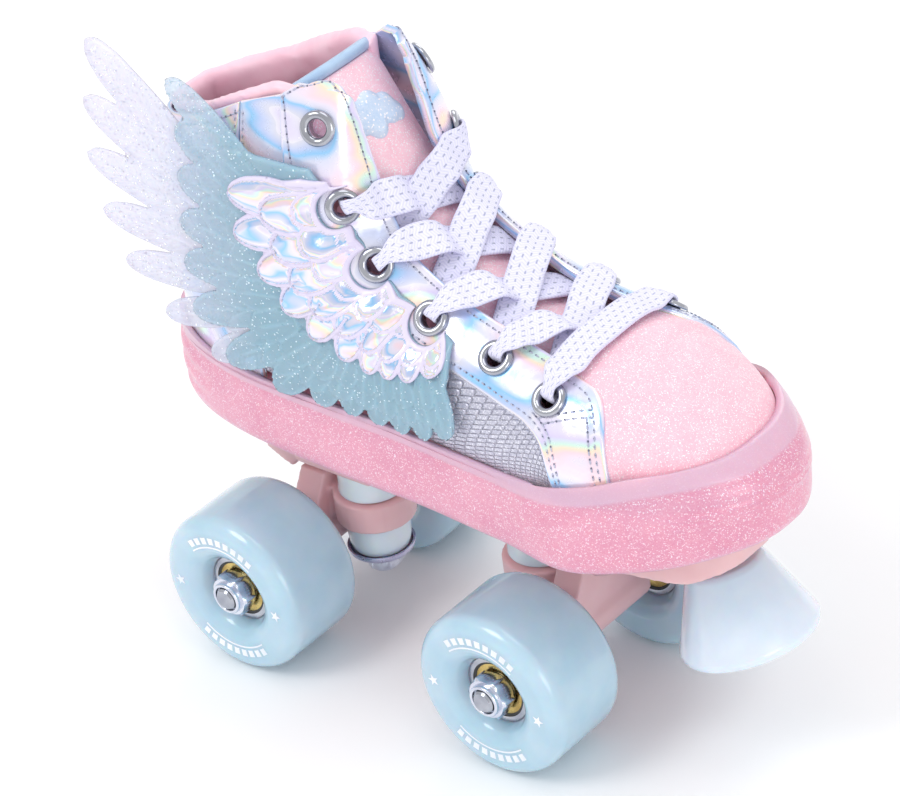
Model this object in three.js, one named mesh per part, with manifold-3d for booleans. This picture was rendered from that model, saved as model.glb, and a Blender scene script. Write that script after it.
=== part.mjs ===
// A child's high-top quad roller skate, for the right foot, in millimetres.
// X runs towards the toe, Y towards the inner side of the foot, Z up.
// The origin is on the ground, midway between the four wheels.
import * as THREE from "three";
import { mergeVertices } from "three/addons/utils/BufferGeometryUtils.js";
import Module from "manifold-3d";

const wasm = await Module();
wasm.setup();

// ---------------------------------------------------------------- driving dimensions
const gap = 0.3; // left between pieces that touch

const wheelbase = 102.8;
const track = 73;
const wheelRadius = 27;
const wheelWidth = 32;
const wheelEdgeRadius = 5;
const hubRecess = 6; // bearing face below the wheel's face

const bearingRadius = 11;
const bearingWidth = 7;
const axleRadius = 4;
const axleStandOut = 1.6; // past the wheel's outer face
const axleNutFlats = 12.6;

// The trucks are set out from their axle, so they follow the wheelbase and the wheels.
const axleHeight = wheelRadius;
const axleFromMiddle = wheelbase / 2;
const kingpinFromMiddle = axleFromMiddle - 17.4;
const kingpinRadius = 3;
const kingpinHeadRadius = 2 * kingpinRadius;
const kingpinNutFlats = 10.4;
const kingpinBottom = axleHeight - 14.4;
const cushionRadius = 10.4;
const ringRadius = cushionRadius + 2.4;
const ringBottom = axleHeight + 6.4;
const ringTop = ringBottom + 9.6;
const pivotFromMiddle = axleFromMiddle + 9.6;
const pivotHeight = ringTop + 10;
const blockBottom = ringTop + 14.2;
const plateBottom = blockBottom + 11.7;
const plateThickness = 4.3;

const stopBoltRadius = 3.4;
const toeStopTopRadius = 12;
const toeStopBottomRadius = 21.6;
const toeStopHeight = 26;
const toeStopLean = THREE.MathUtils.degToRad(17);

// The boot is drawn at its own heights and then stood on the plate.
const soleBack = -94.5;
const soleFront = 131;
const soleBottom = 73.2;
const bootLift = plateBottom + plateThickness - soleBottom;
const footbed = 98.6;

const upperBack = -91;
const upperFront = 123.5;
const featherline = 99; // where the upper sits down into the sole
const upperLayer = 1.7; // lining side of the fabric to its face
const overlayLayer = 0.9; // thickness of what is stitched on top
const overlayLift = gap;
const archPower = 2.3; // roundness of every cross-section of the upper
const heelLean = 4; // how far the back of the collar leans in

const eyeletRadius = 5.4;
const eyeletHole = 2.7;
const eyeletWall = 0.6;
const eyeletFoot = overlayLift + overlayLayer + 2.8 * gap; // clear of the curve beneath its flange
const laceWidth = 9.6;
const laceThickness = 1.1;
const laceAtEyelet = 3.8; // width that the lace is squeezed to in a hole

// ---------------------------------------------------------------- small tools
const clamp = THREE.MathUtils.clamp;
const lerp = THREE.MathUtils.lerp;
const smooth = (value, low, high) => THREE.MathUtils.smoothstep(value, low, high);

// A smooth function through [place, value] pairs that never overshoots them.
function through(pairs) {
  const xs = pairs.map((pair) => pair[0]);
  const ys = pairs.map((pair) => pair[1]);
  const last = xs.length - 1;
  const slope = [];
  for (let i = 0; i < last; i++) slope.push((ys[i + 1] - ys[i]) / (xs[i + 1] - xs[i]));
  const tangent = xs.map((_, i) => {
    if (i === 0) return slope[0];
    if (i === last) return slope[last - 1];
    const product = slope[i - 1] * slope[i];
    return product <= 0 ? 0 : (2 * product) / (slope[i - 1] + slope[i]);
  });
  return (x) => {
    const at = clamp(x, xs[0], xs[last]);
    let i = 0;
    while (i < last - 1 && at > xs[i + 1]) i++;
    const width = xs[i + 1] - xs[i];
    const t = (at - xs[i]) / width;
    const rise = (1 + 2 * t) * (1 - t) ** 2 * ys[i] + t * t * (3 - 2 * t) * ys[i + 1];
    return rise + width * (t * (1 - t) ** 2 * tangent[i] - t * t * (1 - t) * tangent[i + 1]);
  };
}

// The same for points: a path by fraction 0 to 1, evenly shared between its corners.
function pathThrough(points) {
  const share = (index) => through(points.map((p, i) => [i / (points.length - 1), p[index]]));
  const parts = points[0].map((_, index) => share(index));
  return (fraction) => parts.map((part) => part(fraction));
}

function geometryOf(positions, triangles) {
  const geometry = new THREE.BufferGeometry();
  geometry.setAttribute("position", new THREE.Float32BufferAttribute(positions, 3));
  geometry.setIndex(triangles);
  geometry.computeVertexNormals();
  return geometry;
}

// Joins equal rings of points into one closed body and fills the two end rings.
function ringSolid(rings) {
  const count = rings[0].length;
  const positions = rings.flat().flatMap((p) => [p.x, p.y, p.z]);
  const triangles = [];
  for (let r = 0; r < rings.length - 1; r++) {
    const here = r * count;
    const next = here + count;
    for (let i = 0; i < count; i++) {
      const j = (i + 1) % count;
      triangles.push(here + i, here + j, next + j, here + i, next + j, next + i);
    }
  }
  for (const ringIndex of [0, rings.length - 1]) {
    const start = ringIndex * count;
    const flat = flatten(rings[ringIndex]);
    for (const [a, b, c] of THREE.ShapeUtils.triangulateShape(flat, [])) {
      const face = ringIndex === 0 ? [a, c, b] : [a, b, c];
      triangles.push(...face.map((index) => start + index));
    }
  }
  return facingOut(geometryOf(positions, triangles));
}

// A ring of 3-D points laid out flat in its own best plane, keeping its turning sense.
function flatten(ring) {
  const normal = new THREE.Vector3();
  ring.forEach((point, i) => {
    normal.add(new THREE.Vector3().crossVectors(point, ring[(i + 1) % ring.length]));
  });
  normal.normalize();
  const turn = new THREE.Quaternion().setFromUnitVectors(normal, new THREE.Vector3(0, 0, 1));
  return ring.map((point) => {
    const moved = point.clone().applyQuaternion(turn);
    return new THREE.Vector2(moved.x, moved.y);
  });
}

// Turns every face over when the body is inside out.
function facingOut(geometry) {
  const p = geometry.getAttribute("position");
  const index = geometry.getIndex();
  const corner = [0, 1, 2].map(() => new THREE.Vector3());
  let volume = 0;
  for (let i = 0; i < index.count; i += 3) {
    corner.forEach((v, k) => v.fromBufferAttribute(p, index.getX(i + k)));
    volume += corner[0].dot(corner[1].clone().cross(corner[2]));
  }
  if (volume < 0) {
    geometry.setIndex(Array.from(index.array).reverse());
    geometry.computeVertexNormals();
  }
  return geometry;
}

// A thin closed patch: place(u, v, layer) gives the point at layer 0 (inner) or 1 (outer).
function patchSolid(columns, rows, place) {
  const rings = [];
  for (let c = 0; c <= columns; c++) {
    const outer = [];
    const inner = [];
    for (let r = 0; r <= rows; r++) {
      outer.push(place(c / columns, r / rows, 1));
      inner.push(place(c / columns, r / rows, 0));
    }
    rings.push([...outer, ...inner.reverse()]);
  }
  return ringSolid(rings);
}

function solid(geometry) {
  const bare = geometry.clone();
  bare.deleteAttribute("normal");
  if (bare.hasAttribute("uv")) bare.deleteAttribute("uv");
  const merged = mergeVertices(bare, 1e-4);
  const mesh = new wasm.Mesh({
    numProp: 3,
    vertProperties: new Float32Array(merged.getAttribute("position").array),
    triVerts: new Uint32Array(merged.getIndex().array),
  });
  return new wasm.Manifold(mesh);
}

function geometryFrom(manifold) {
  const mesh = manifold.getMesh();
  return geometryOf(Array.from(mesh.vertProperties), Array.from(mesh.triVerts));
}

const join = (...geometries) => geometryFrom(geometries.map(solid).reduce((a, b) => a.add(b)));
const cut = (base, ...tools) =>
  geometryFrom(tools.map(solid).reduce((left, tool) => left.subtract(tool), solid(base)));
const common = (a, b) => geometryFrom(solid(a).intersect(solid(b)));

function cylinder(radius, from, to, segments = 24) {
  const a = new THREE.Vector3(...from);
  const b = new THREE.Vector3(...to);
  const length = a.distanceTo(b);
  const geometry = new THREE.CylinderGeometry(radius, radius, length, segments);
  const turn = new THREE.Quaternion().setFromUnitVectors(
    new THREE.Vector3(0, 1, 0),
    b.clone().sub(a).normalize(),
  );
  geometry.applyQuaternion(turn);
  geometry.translate(...a.add(b).multiplyScalar(0.5).toArray());
  return geometry;
}

// A profile of [radius, height] turned about the Z axis.
function turned(profile, segments) {
  const closed = profile[0][0] > 0 ? [...profile, profile[0]] : profile;
  const points = closed.map(([radius, height]) => new THREE.Vector2(radius, height));
  const geometry = new THREE.LatheGeometry(points, segments);
  geometry.rotateX(Math.PI / 2);
  return facingOut(mergeVertices(stripped(geometry), 1e-4));
}

function stripped(geometry) {
  geometry.deleteAttribute("normal");
  geometry.deleteAttribute("uv");
  return geometry;
}

// A flat outline of [a, b] points, made `depth` thick and centred on its own plane.
function plate(outline, depth) {
  const shape = new THREE.Shape(outline.map(([a, b]) => new THREE.Vector2(a, b)));
  const geometry = new THREE.ExtrudeGeometry(shape, { depth, bevelEnabled: false });
  geometry.translate(0, 0, -depth / 2);
  return mergeVertices(stripped(geometry), 1e-4);
}

// The same, standing in the XZ plane: outline points are [x, z].
function standingPlate(outline, depth) {
  const geometry = plate(outline, depth);
  geometry.rotateX(Math.PI / 2);
  return geometry;
}

function hexagon(flats) {
  const corner = flats / Math.sqrt(3);
  return Array.from({ length: 6 }, (_, i) => {
    const angle = (i * Math.PI) / 3;
    return [corner * Math.cos(angle), corner * Math.sin(angle)];
  });
}

function finish(color, roughness, metalness = 0, opacity = 1) {
  return new THREE.MeshStandardMaterial({
    color, roughness, metalness, opacity, transparent: opacity < 1,
  });
}

const finishes = {
  glitterPink: finish(0xf4c1cc, 0.55),
  solePink: finish(0xeaa9bf, 0.35, 0, 0.95),
  holographic: finish(0xd9def0, 0.18, 0.6),
  scales: finish(0xb9b6c9, 0.35, 0.4),
  satin: finish(0xe8a7b8, 0.4),
  binding: finish(0xa9c9e8, 0.5),
  patch: finish(0xb5cfe6, 0.6),
  insole: finish(0xf0c6d0, 0.85),
  lace: finish(0xe3e0f2, 0.75),
  clearWing: finish(0xeceef2, 0.2, 0, 0.6),
  blueWing: finish(0x8fb9c6, 0.2, 0, 0.7),
  crest: finish(0xe4def0, 0.2, 0.5),
  chassis: finish(0xf1cfd0, 0.45),
  wheel: finish(0xa6cbd9, 0.25, 0, 0.95),
  cushion: finish(0xe6e3ee, 0.4),
  steel: finish(0xc9ced6, 0.25, 1),
  bearing: finish(0xb9a069, 0.3, 1),
  rubber: finish(0xded7e4, 0.7),
};

function piece(name, geometry, material) {
  const mesh = new THREE.Mesh(geometry, material);
  mesh.name = name;
  return mesh;
}

// ---------------------------------------------------------------- shape of the upper
// Seen from above, an outline is a rounded oval whose half-width changes along X.
function planOutline(back, front, power, halfWidth) {
  const middle = (back + front) / 2;
  const half = (front - back) / 2;
  return {
    back,
    front,
    at(x) {
      const e = clamp(Math.abs(x - middle) / half, 0, 1);
      return halfWidth(x) * (1 - e ** power) ** (1 / power);
    },
  };
}

const upperPlan = planOutline(upperBack, upperFront, 2.6, through([
  [upperBack, 37], [-60, 36], [0, 33], [45, 36.2], [85, 41.2], [105, 40], [upperFront, 34],
]));
const solePlan = planOutline(soleBack, soleFront, 2.5, through([
  [soleBack, 42], [-60, 38.5], [-20, 36], [10, 35.8], [50, 39], [85, 46.5], [108, 45], [soleFront, 37],
]));
const crestHeight = through([
  [upperBack, 206], [-70, 214], [-40, 218], [-15, 214], [-6, 203], [2, 172], [10, 159],
  [26, 146], [46, 137], [66, 132.5], [82, 131], [94, 128], [104, 123.5], [112, 118], [118, 111],
  [upperFront, 100],
]);
const collarHeight = through([[upperBack, 171], [-75, 176], [-60, 181], [-25, 196], [-12, 200], [0, 201]]);

// A point on the upper: x along the foot, angle round the section (0 at the crest,
// a quarter turn at the sole, negative on the outer side of the foot).
function skinPoint(x, angle) {
  const along = clamp(x, upperBack + 0.01, upperFront - 0.01);
  const across = Math.sign(angle) * Math.abs(Math.sin(angle)) ** (2 / archPower);
  const up = Math.abs(Math.cos(angle)) ** (2 / archPower);
  const z = featherline + (crestHeight(along) - featherline) * up;
  const lean = heelLean * clamp((z - featherline) / 75, 0, 1.3) * smooth(-along, 35, -upperBack);
  return new THREE.Vector3(along + lean, upperPlan.at(along) * across, z);
}

// The same point moved `off` outwards from the surface.
function skin(x, angle, off = 0) {
  const step = 0.01;
  const here = skinPoint(x, angle);
  if (off === 0) return here;
  const ahead = skinPoint(x + step, angle).sub(skinPoint(x - step, angle));
  const turnStep = angle >= 0 ? step : -step;
  const around = skinPoint(x, angle + turnStep).sub(skinPoint(x, angle));
  const normal = around.cross(ahead).multiplyScalar(Math.sign(turnStep)).normalize();
  if (normal.dot(new THREE.Vector3(0, Math.sin(angle), Math.cos(angle))) < 0) normal.negate();
  return here.addScaledVector(normal, off);
}

const angleAtHeight = (x, z) => {
  const up = clamp((z - featherline) / (crestHeight(x) - featherline), 0, 1);
  return Math.acos(up ** (archPower / 2));
};
const angleAtWidth = (x, y) => {
  const across = clamp(y / upperPlan.at(x), 0, 1);
  return Math.asin(across ** (archPower / 2));
};
const onSide = (x, z, side, off = 0) => skin(x, side * angleAtHeight(x, z), off);

// Round the heel: fraction -1 is the front end on the outer side, 0 the back seam.
const heelStation = (fraction, frontX) => ({
  x: lerp(upperBack + 0.02, frontX, Math.abs(fraction) ** 2.2),
  side: fraction < 0 ? -1 : 1,
});

// ---------------------------------------------------------------- outsole
function planRing(plan, inset, height, count = 44) {
  const ring = [];
  const middle = (plan.back + plan.front) / 2;
  const half = (plan.front - plan.back) / 2;
  for (let i = 0; i < count; i++) {
    const turn = (2 * Math.PI * (i + 0.5)) / count;
    const x = middle + half * Math.cos(turn) * (1 - 0.0005);
    const side = Math.sin(turn) >= 0 ? 1 : -1;
    const step = 0.02;
    const slope = (plan.at(x + step) - plan.at(x - step)) / (2 * step);
    const normal = new THREE.Vector2(-slope, 1).normalize();
    const px = x - normal.x * inset;
    const py = side * (plan.at(x) - normal.y * inset);
    ring.push(new THREE.Vector3(px, py, height(px)));
  }
  return ring;
}

const soleUnderside = through([[soleBack, soleBottom], [70, soleBottom], [95, 76.5], [soleFront, 84]]);
const soleLip = through([
  [soleBack, 105], [-82, 102.5], [-55, 100.6], [50, 100.4], [75, 101.4], [95, 105.5], [110, 109.8],
  [soleFront, 112],
]);

// The outline that the upper has where the lip meets it, drawn in over the toe.
let lipFront = upperFront;
while (crestHeight(lipFront) < soleLip(lipFront)) lipFront -= 0.1;
const lipPlan = {
  back: upperBack,
  front: lipFront,
  at: (x) => upperPlan.at(x) * Math.sin(angleAtHeight(x, soleLip(x))) ** (2 / archPower),
};

function outsole() {
  const level = (part) => (x) => lerp(soleUnderside(x), soleLip(x), part);
  const outside = [
    [4.5, 0], [1.6, 0.07], [0.2, 0.26], [0, 0.45], [0.6, 0.72], [0.9, 0.93], [1.8, 1],
  ].map(([inset, part]) => planRing(solePlan, inset, level(part)));
  const clearance = overlayLift + overlayLayer + 2.4 * gap;
  const inside = [
    planRing(lipPlan, -clearance, (x) => soleLip(x) - 0.2),
    planRing(upperPlan, -clearance, () => footbed),
  ];
  return ringSolid([...outside, ...inside]);
}

function insole() {
  const inset = upperLayer + 3 * gap;
  return ringSolid([
    planRing(upperPlan, inset, () => footbed + gap, 40),
    planRing(upperPlan, inset, () => footbed + gap + 2.4, 40),
  ]);
}

// ---------------------------------------------------------------- upper pieces
// Where the vamp's rear edge lies, by angle round the section: [angle, x].
const vampSeam = through([
  [0, 73.5], [0.38, 74], [0.46, 80], [0.54, 87.8], [0.757, 90.8], [1.14, 93], [1.57, 95.8],
]);
// The seam slants through the thickness, so a thicker fabric needs the vamp further away.
const seamSlant = 0.55;
const seamClearance = upperLayer / 2 - seamSlant;
const lowestAngle = Math.PI / 2 - 0.02;
const heelSeam = -40;
const throatHalf = 12.5;

function toeVamp() {
  return patchSolid(9, 14, (u, v, layer) => {
    const angle = lerp(-lowestAngle, lowestAngle, v);
    const rear = vampSeam(Math.abs(angle)) + seamClearance;
    const x = lerp(rear, upperFront - 2.2, Math.sin((u * Math.PI) / 2));
    return skin(x, angle, layer ? 0 : -upperLayer);
  });
}

const eyestayInner = pathThrough([
  [-18, 199.2], [-9, 199.4], [-4.6, 194], [-1.4, 181], [2.6, 167], [12.5, 151.5], [31, 139.6],
  [52, 132.6], [70, 129], [82.5, 126.4], [87, 122.5], [91, 113], [94.2, 101],
]);
const eyestayOuter = pathThrough([
  [-23.6, 195.4], [-23.4, 190], [-22.6, 182], [-20.5, 170], [-15, 156], [-3, 142.5], [14, 131.5],
  [34, 124.6], [52, 120], [64, 117.2], [70, 113.5], [73, 107.5], [75, 101],
]);

const seamColumns = 18; // shared, so that the two sides of the seam have the same corners

function eyestay(side) {
  const top = overlayLift + overlayLayer;
  return patchSolid(seamColumns, 2, (u, v, layer) => {
    const [innerX, innerZ] = eyestayInner(u);
    const [outerX, outerZ] = eyestayOuter(u);
    const x = lerp(innerX, outerX, v);
    const innerAngle = Math.max(angleAtHeight(innerX, innerZ), angleAtWidth(innerX, throatHalf));
    const angle = lerp(innerAngle, angleAtHeight(outerX, outerZ), v);
    return skin(x, side * Math.min(angle, lowestAngle), layer ? top : -upperLayer);
  });
}

// The side panel fills what the eyestay, the heel and the sole leave: [x, z] along its lower edge.
const quarterLow = pathThrough([
  [heelSeam + gap, 190], [heelSeam + gap, 176], [heelSeam + gap, 160], [heelSeam + gap, 142],
  [heelSeam + gap, 122], [-36, 103], [-22, 99.2], [-4, 99.2], [14, 99.2], [32, 99.2], [50, 99.2],
  [62, 99.2], [72, 99.2],
]);

function quarter(side) {
  return patchSolid(seamColumns, 4, (u, v, layer) => {
    const [outerX, outerZ] = eyestayOuter(u);
    const [lowX, lowZ] = quarterLow(u);
    const edge = lerp(0.03, 1, v);
    const x = lerp(outerX, lowX, edge) - gap;
    const angle = angleAtHeight(x, lerp(outerZ, lowZ, edge));
    return skin(x, side * Math.min(angle, lowestAngle), layer ? 0 : -upperLayer);
  });
}

function heelQuarter() {
  return patchSolid(22, 4, (u, v, layer) => {
    const { x, side } = heelStation(lerp(-1, 1, u), heelSeam - gap / 2);
    const z = lerp(featherline + 0.2, collarHeight(x), v);
    return onSide(x, z, side, layer ? 0 : -upperLayer);
  });
}

// A rolled, padded collar with the lining that hangs from it inside the boot.
const liningFront = -29;
function collarLining() {
  const low = featherline + 8;
  const rings = [];
  const stations = 22;
  for (let i = 0; i <= stations; i++) {
    const { x, side } = heelStation(lerp(-1, 1, i / stations), liningFront);
    const top = collarHeight(x);
    const profile = [
      [-3.3, low], [-3.3, top - 0.6], [-2.3, top + 1.2], [-0.8, top + 1.4], [-0.7, top + 2.8],
      [-2.8, top + 4.6], [-5.6, top + 4.2], [-7.6, top + 1.8], [-7.8, top - 4], [-6.2, top - 14],
      [-5.2, low],
    ];
    rings.push(profile.map(([off, z]) => onSide(x, z, side, off)));
  }
  return ringSolid(rings);
}

// ---------------------------------------------------------------- eyelets
// From the toe end of the throat to the collar: [x, height on the upper].
const eyeletSpots = [
  [70, 123.5], [48.6, 128.8], [25.5, 135.6], [6.4, 148.2], [-2.8, 165.9], [-10.1, 188.1],
];

function eyeletFrame(index, side) {
  const [x, z] = eyeletSpots[index];
  const centre = onSide(x, z, side, 0);
  const normal = onSide(x, z, side, 1).sub(centre).normalize();
  return { centre, normal };
}

function eyelet(index, side) {
  const foot = eyeletFoot;
  const barrel = eyeletHole + eyeletWall;
  const bottom = -upperLayer;
  const geometry = turned([
    [eyeletHole, bottom], [barrel, bottom], [barrel, foot], [eyeletRadius, foot],
    [eyeletRadius - 0.3, foot + 0.7], [eyeletRadius - 1.6, foot + 1.2], [eyeletHole, foot + 0.6],
  ], 12);
  const { centre, normal } = eyeletFrame(index, side);
  const turn = new THREE.Quaternion().setFromUnitVectors(new THREE.Vector3(0, 0, 1), normal);
  geometry.applyQuaternion(turn);
  geometry.translate(...centre.toArray());
  return geometry;
}

function drill(index, side, radius) {
  const { centre, normal } = eyeletFrame(index, side);
  const from = centre.clone().addScaledVector(normal, -6);
  const to = centre.clone().addScaledVector(normal, 14);
  return cylinder(radius, from.toArray(), to.toArray(), 12);
}

const allEyelets = eyeletSpots.map((_, index) => index);
const pierced = (geometry, side, indices, radius) =>
  cut(geometry, ...indices.map((index) => drill(index, side, radius)));

// ---------------------------------------------------------------- tongue
// The tongue's centre line from under the vamp to its free top: [x, z].
const tongueDrop = upperLayer + laceThickness + 2.2;
const tongueLine = pathThrough([
  ...[80, 66, 53, 40, 28, 18, 11, 6].map((x) => {
    const below = skin(x, 0, -tongueDrop);
    return [below.x, below.z];
  }),
  [-5.6, 172.5], [-13.5, 185], [-21.5, 197.5],
]);
const tongueThickness = 3.2;
const tongueCrown = 0.012; // how quickly the tongue curves away to each side

function tonguePoint(along, across, off) {
  const step = 0.01;
  const [x, z] = tongueLine(along);
  const [x0, z0] = tongueLine(clamp(along - step, 0, 1));
  const [x1, z1] = tongueLine(clamp(along + step, 0, 1));
  const normal = new THREE.Vector3(z1 - z0, 0, x0 - x1).normalize();
  const centre = new THREE.Vector3(x, across, z);
  return centre.addScaledVector(normal, off - tongueCrown * across * across);
}

const tongueHalf = (along) => lerp(17, 18, smooth(along, 0.4, 1)) - 3 * smooth(along, 0.95, 1.02);
const tongueTop = 0.975;

function tongue() {
  return patchSolid(14, 4, (u, v, layer) => {
    const along = lerp(0, tongueTop, u);
    const across = lerp(-1, 1, v) * tongueHalf(along);
    return tonguePoint(along, across, layer ? 0 : -tongueThickness);
  });
}

function tongueBinding() {
  const half = tongueHalf(1) + 1.6;
  const wrap = 1.2;
  return patchSolid(10, 2, (u, v, layer) => {
    const across = lerp(-half, half, u);
    const along = lerp(tongueTop + 0.004, 1.0, v);
    return tonguePoint(along, across, layer ? wrap : -tongueThickness - wrap);
  });
}

// A small cloud sewn on the tongue's face: round lobes side by side.
function tonguePatch() {
  const lobes = [[0.83, -8.6, 3.8], [0.85, -3.6, 5], [0.855, 2.8, 5.2], [0.835, 8.6, 4]];
  const length = 125; // of the tongue's centre line, for turning sizes into fractions
  const disc = ([along, across, radius]) => {
    const ring = (scale, off) => Array.from({ length: 10 }, (_, i) => {
      const angle = (2 * Math.PI * i) / 10;
      const a = along + (scale * radius * Math.sin(angle)) / length;
      return tonguePoint(a, across + scale * radius * Math.cos(angle), off);
    });
    return ringSolid([ring(1, gap), ring(1, gap + 0.8)]);
  };
  return join(...lobes.map(disc));
}

// ---------------------------------------------------------------- lace
const laceOver = eyeletFoot + 1.2 + 2 * gap + laceThickness / 2;
const laceAtEdge = overlayLift + overlayLayer + gap + laceThickness / 2 + 0.5;
const laceUnder = -upperLayer - gap - laceThickness / 2 - 0.2;
const laceCrossing = laceUnder + laceThickness + 1.5 * gap;
const bottomBarHeight = laceOver - 2.2;

// Where a bar crosses the middle of the foot: the crest point nearest its midpoint.
function crestCrossing(a, b) {
  const middle = a.clone().add(b).multiplyScalar(0.5);
  let best = { distance: Infinity, x: 0 };
  for (let x = -10; x < 80; x += 0.5) {
    const distance = Math.hypot(x - middle.x, crestHeight(x) - middle.z);
    if (distance < best.distance) best = { distance, x };
  }
  return best.x;
}

const onWidth = (x, y, off) => skin(x, Math.sign(y) * angleAtWidth(x, Math.abs(y)), off);

// Height of a bar above the upper, by how far it has come from the side it left (0 to 1).
const lowBar = through([[0, laceUnder], [0.55, laceUnder], [0.82, laceAtEdge], [1, laceAtEdge]]);
const highBar = through([
  [0, laceUnder], [0.12, laceUnder], [0.42, laceCrossing], [0.58, laceCrossing],
  [0.82, laceAtEdge], [1, laceAtEdge],
]);
const bottomBar = through([
  [0, laceAtEdge], [0.08, laceAtEdge], [0.4, bottomBarHeight], [0.6, bottomBarHeight],
  [0.92, laceAtEdge], [1, laceAtEdge],
]);

// Stations of the lace where it dives through an eyelet: [towards the throat, height, width].
const dive = [
  [6.4, laceOver, 8.6], [4.4, laceOver, 6.6], [2.3, laceOver, laceAtEyelet],
  [1.0, laceOver - 0.35, laceAtEyelet], [0.3, laceOver - 1.15, laceAtEyelet],
  [0, 1, laceAtEyelet], [0, -0.8, laceAtEyelet],
  [0.3, laceUnder + 0.75, laceAtEyelet], [1.0, laceUnder + 0.15, laceAtEyelet],
];
const climb = [[2.4, laceUnder, laceAtEyelet], [5, laceUnder, 6.4], [8, laceUnder, 9]];

// One bar from eyelet to eyelet. Its stations start inside the boot at the first eyelet,
// unless it is the bottom bar, which lies over both facings.
function laceBar({ from, to, side, height, bothOver = false }) {
  const start = eyeletFrame(from, side).centre;
  const end = eyeletFrame(to, -side).centre;
  const middleX = crestCrossing(start, end);
  const xAt = (y) => {
    const a = start.y;
    const b = end.y;
    return (start.x * y * (y - b)) / (a * (a - b)) + (middleX * (y - a) * (y - b)) / (a * b)
      + (end.x * y * (y - a)) / (b * (b - a));
  };
  const station = (y, off, width) => ({
    point: onWidth(xAt(y), y, off),
    across: onWidth(xAt(y) + 0.5, y, 0).sub(onWidth(xAt(y) - 0.5, y, 0)),
    width,
  });
  const inward = (anchor, distance) => anchor.y - Math.sign(anchor.y) * distance;
  const leaving = climb.map(([d, off, width]) => station(inward(start, d), off, width));
  const arriving = dive.map(([d, off, width]) => station(inward(end, d), off, width));
  const crossing = [];
  const steps = 6;
  const firstY = inward(start, 10.5);
  const lastY = inward(end, 9.5);
  for (let i = 0; i <= steps; i++) {
    const y = lerp(firstY, lastY, i / steps);
    crossing.push(station(Math.abs(y) < 0.05 ? 0.05 : y, height(i / steps), laceWidth));
  }
  if (!bothOver) return [...leaving, ...crossing, ...arriving];
  const rising = dive.map(([d, off, width]) => station(inward(start, d), off, width)).reverse();
  return [...rising, ...crossing, ...arriving];
}

function laceStations() {
  const outer = -1;
  const inner = 1;
  const back = (bar) => laceBar(bar).reverse();
  return [
    ...back({ from: 3, to: 4, side: outer, height: highBar }),
    ...back({ from: 2, to: 3, side: inner, height: lowBar }),
    ...back({ from: 1, to: 2, side: outer, height: highBar }),
    ...back({ from: 0, to: 1, side: inner, height: lowBar }),
    ...laceBar({ from: 0, to: 0, side: inner, height: bottomBar, bothOver: true }),
    ...laceBar({ from: 0, to: 1, side: outer, height: highBar }),
    ...laceBar({ from: 1, to: 2, side: inner, height: lowBar }),
    ...laceBar({ from: 2, to: 3, side: outer, height: highBar }),
    ...laceBar({ from: 3, to: 4, side: inner, height: lowBar }),
  ];
}

function lace() {
  const stations = laceStations();
  const half = laceThickness / 2;
  let lastAcross = null;
  const rings = stations.map(({ point, across, width }, i) => {
    const before = stations[Math.max(i - 1, 0)].point;
    const after = stations[Math.min(i + 1, stations.length - 1)].point;
    const ahead = after.clone().sub(before).normalize();
    const wide = across.clone().addScaledVector(ahead, -across.dot(ahead)).normalize();
    if (lastAcross && wide.dot(lastAcross) < 0) wide.negate();
    lastAcross = wide;
    const up = new THREE.Vector3().crossVectors(ahead, wide);
    return [[1, 1], [-1, 1], [-1, -1], [1, -1]].map(([a, b]) =>
      point.clone().addScaledVector(wide, (a * width) / 2).addScaledVector(up, b * half));
  });
  return ringSolid(rings);
}

// ---------------------------------------------------------------- wing
const wingRoot = -22; // behind this the wing leaves the boot and stands free
const wingFlare = 9;
const wingReach = 70;

function wingPoint(x, z, off) {
  const held = Math.max(x, wingRoot);
  const angle = angleAtHeight(held, z);
  const side = upperPlan.at(held) * Math.sin(angle) ** (2 / archPower);
  const free = wingFlare * (Math.max(wingRoot - x, 0) / wingReach) ** 1.5;
  return new THREE.Vector3(x, -(side + off + free), z);
}

// A bent sheet over a rectangle of the side view, cut out along an XZ outline.
function wingLayer({ x: [x0, x1], z: [z0, z1], off, thickness, cells: [columns, rows] }, outline) {
  const sheet = patchSolid(columns, rows, (u, v, layer) =>
    wingPoint(lerp(x0, x1, u), lerp(z0, z1, v), off + layer * thickness));
  return common(sheet, outline);
}

// One feather: a leaf from root to tip, widest well past the middle. Each row of a list
// of feathers is [root x, root z, tip x, tip z, half-width].
function feather([rootX, rootZ, tipX, tipZ, half]) {
  const profile = [[0, 0.45], [0.3, 0.8], [0.62, 1], [0.84, 0.78], [0.95, 0.42]];
  const length = Math.hypot(tipX - rootX, tipZ - rootZ);
  const [dx, dz] = [(tipX - rootX) / length, (tipZ - rootZ) / length];
  const at = ([part, width], sign) => [
    rootX + dx * part * length - sign * dz * width * half,
    rootZ + dz * part * length + sign * dx * width * half,
  ];
  const outline = [
    ...profile.map((entry) => at(entry, 1)), [tipX, tipZ],
    ...profile.map((entry) => at(entry, -1)).reverse(),
  ];
  const geometry = standingPlate(outline, 60);
  geometry.translate(0, -35, 0);
  return facingOut(geometry);
}

const feathers = (list, body) => {
  const middle = standingPlate(body, 60);
  middle.translate(0, -35, 0);
  return join(...list.map(feather), facingOut(middle));
};

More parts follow.
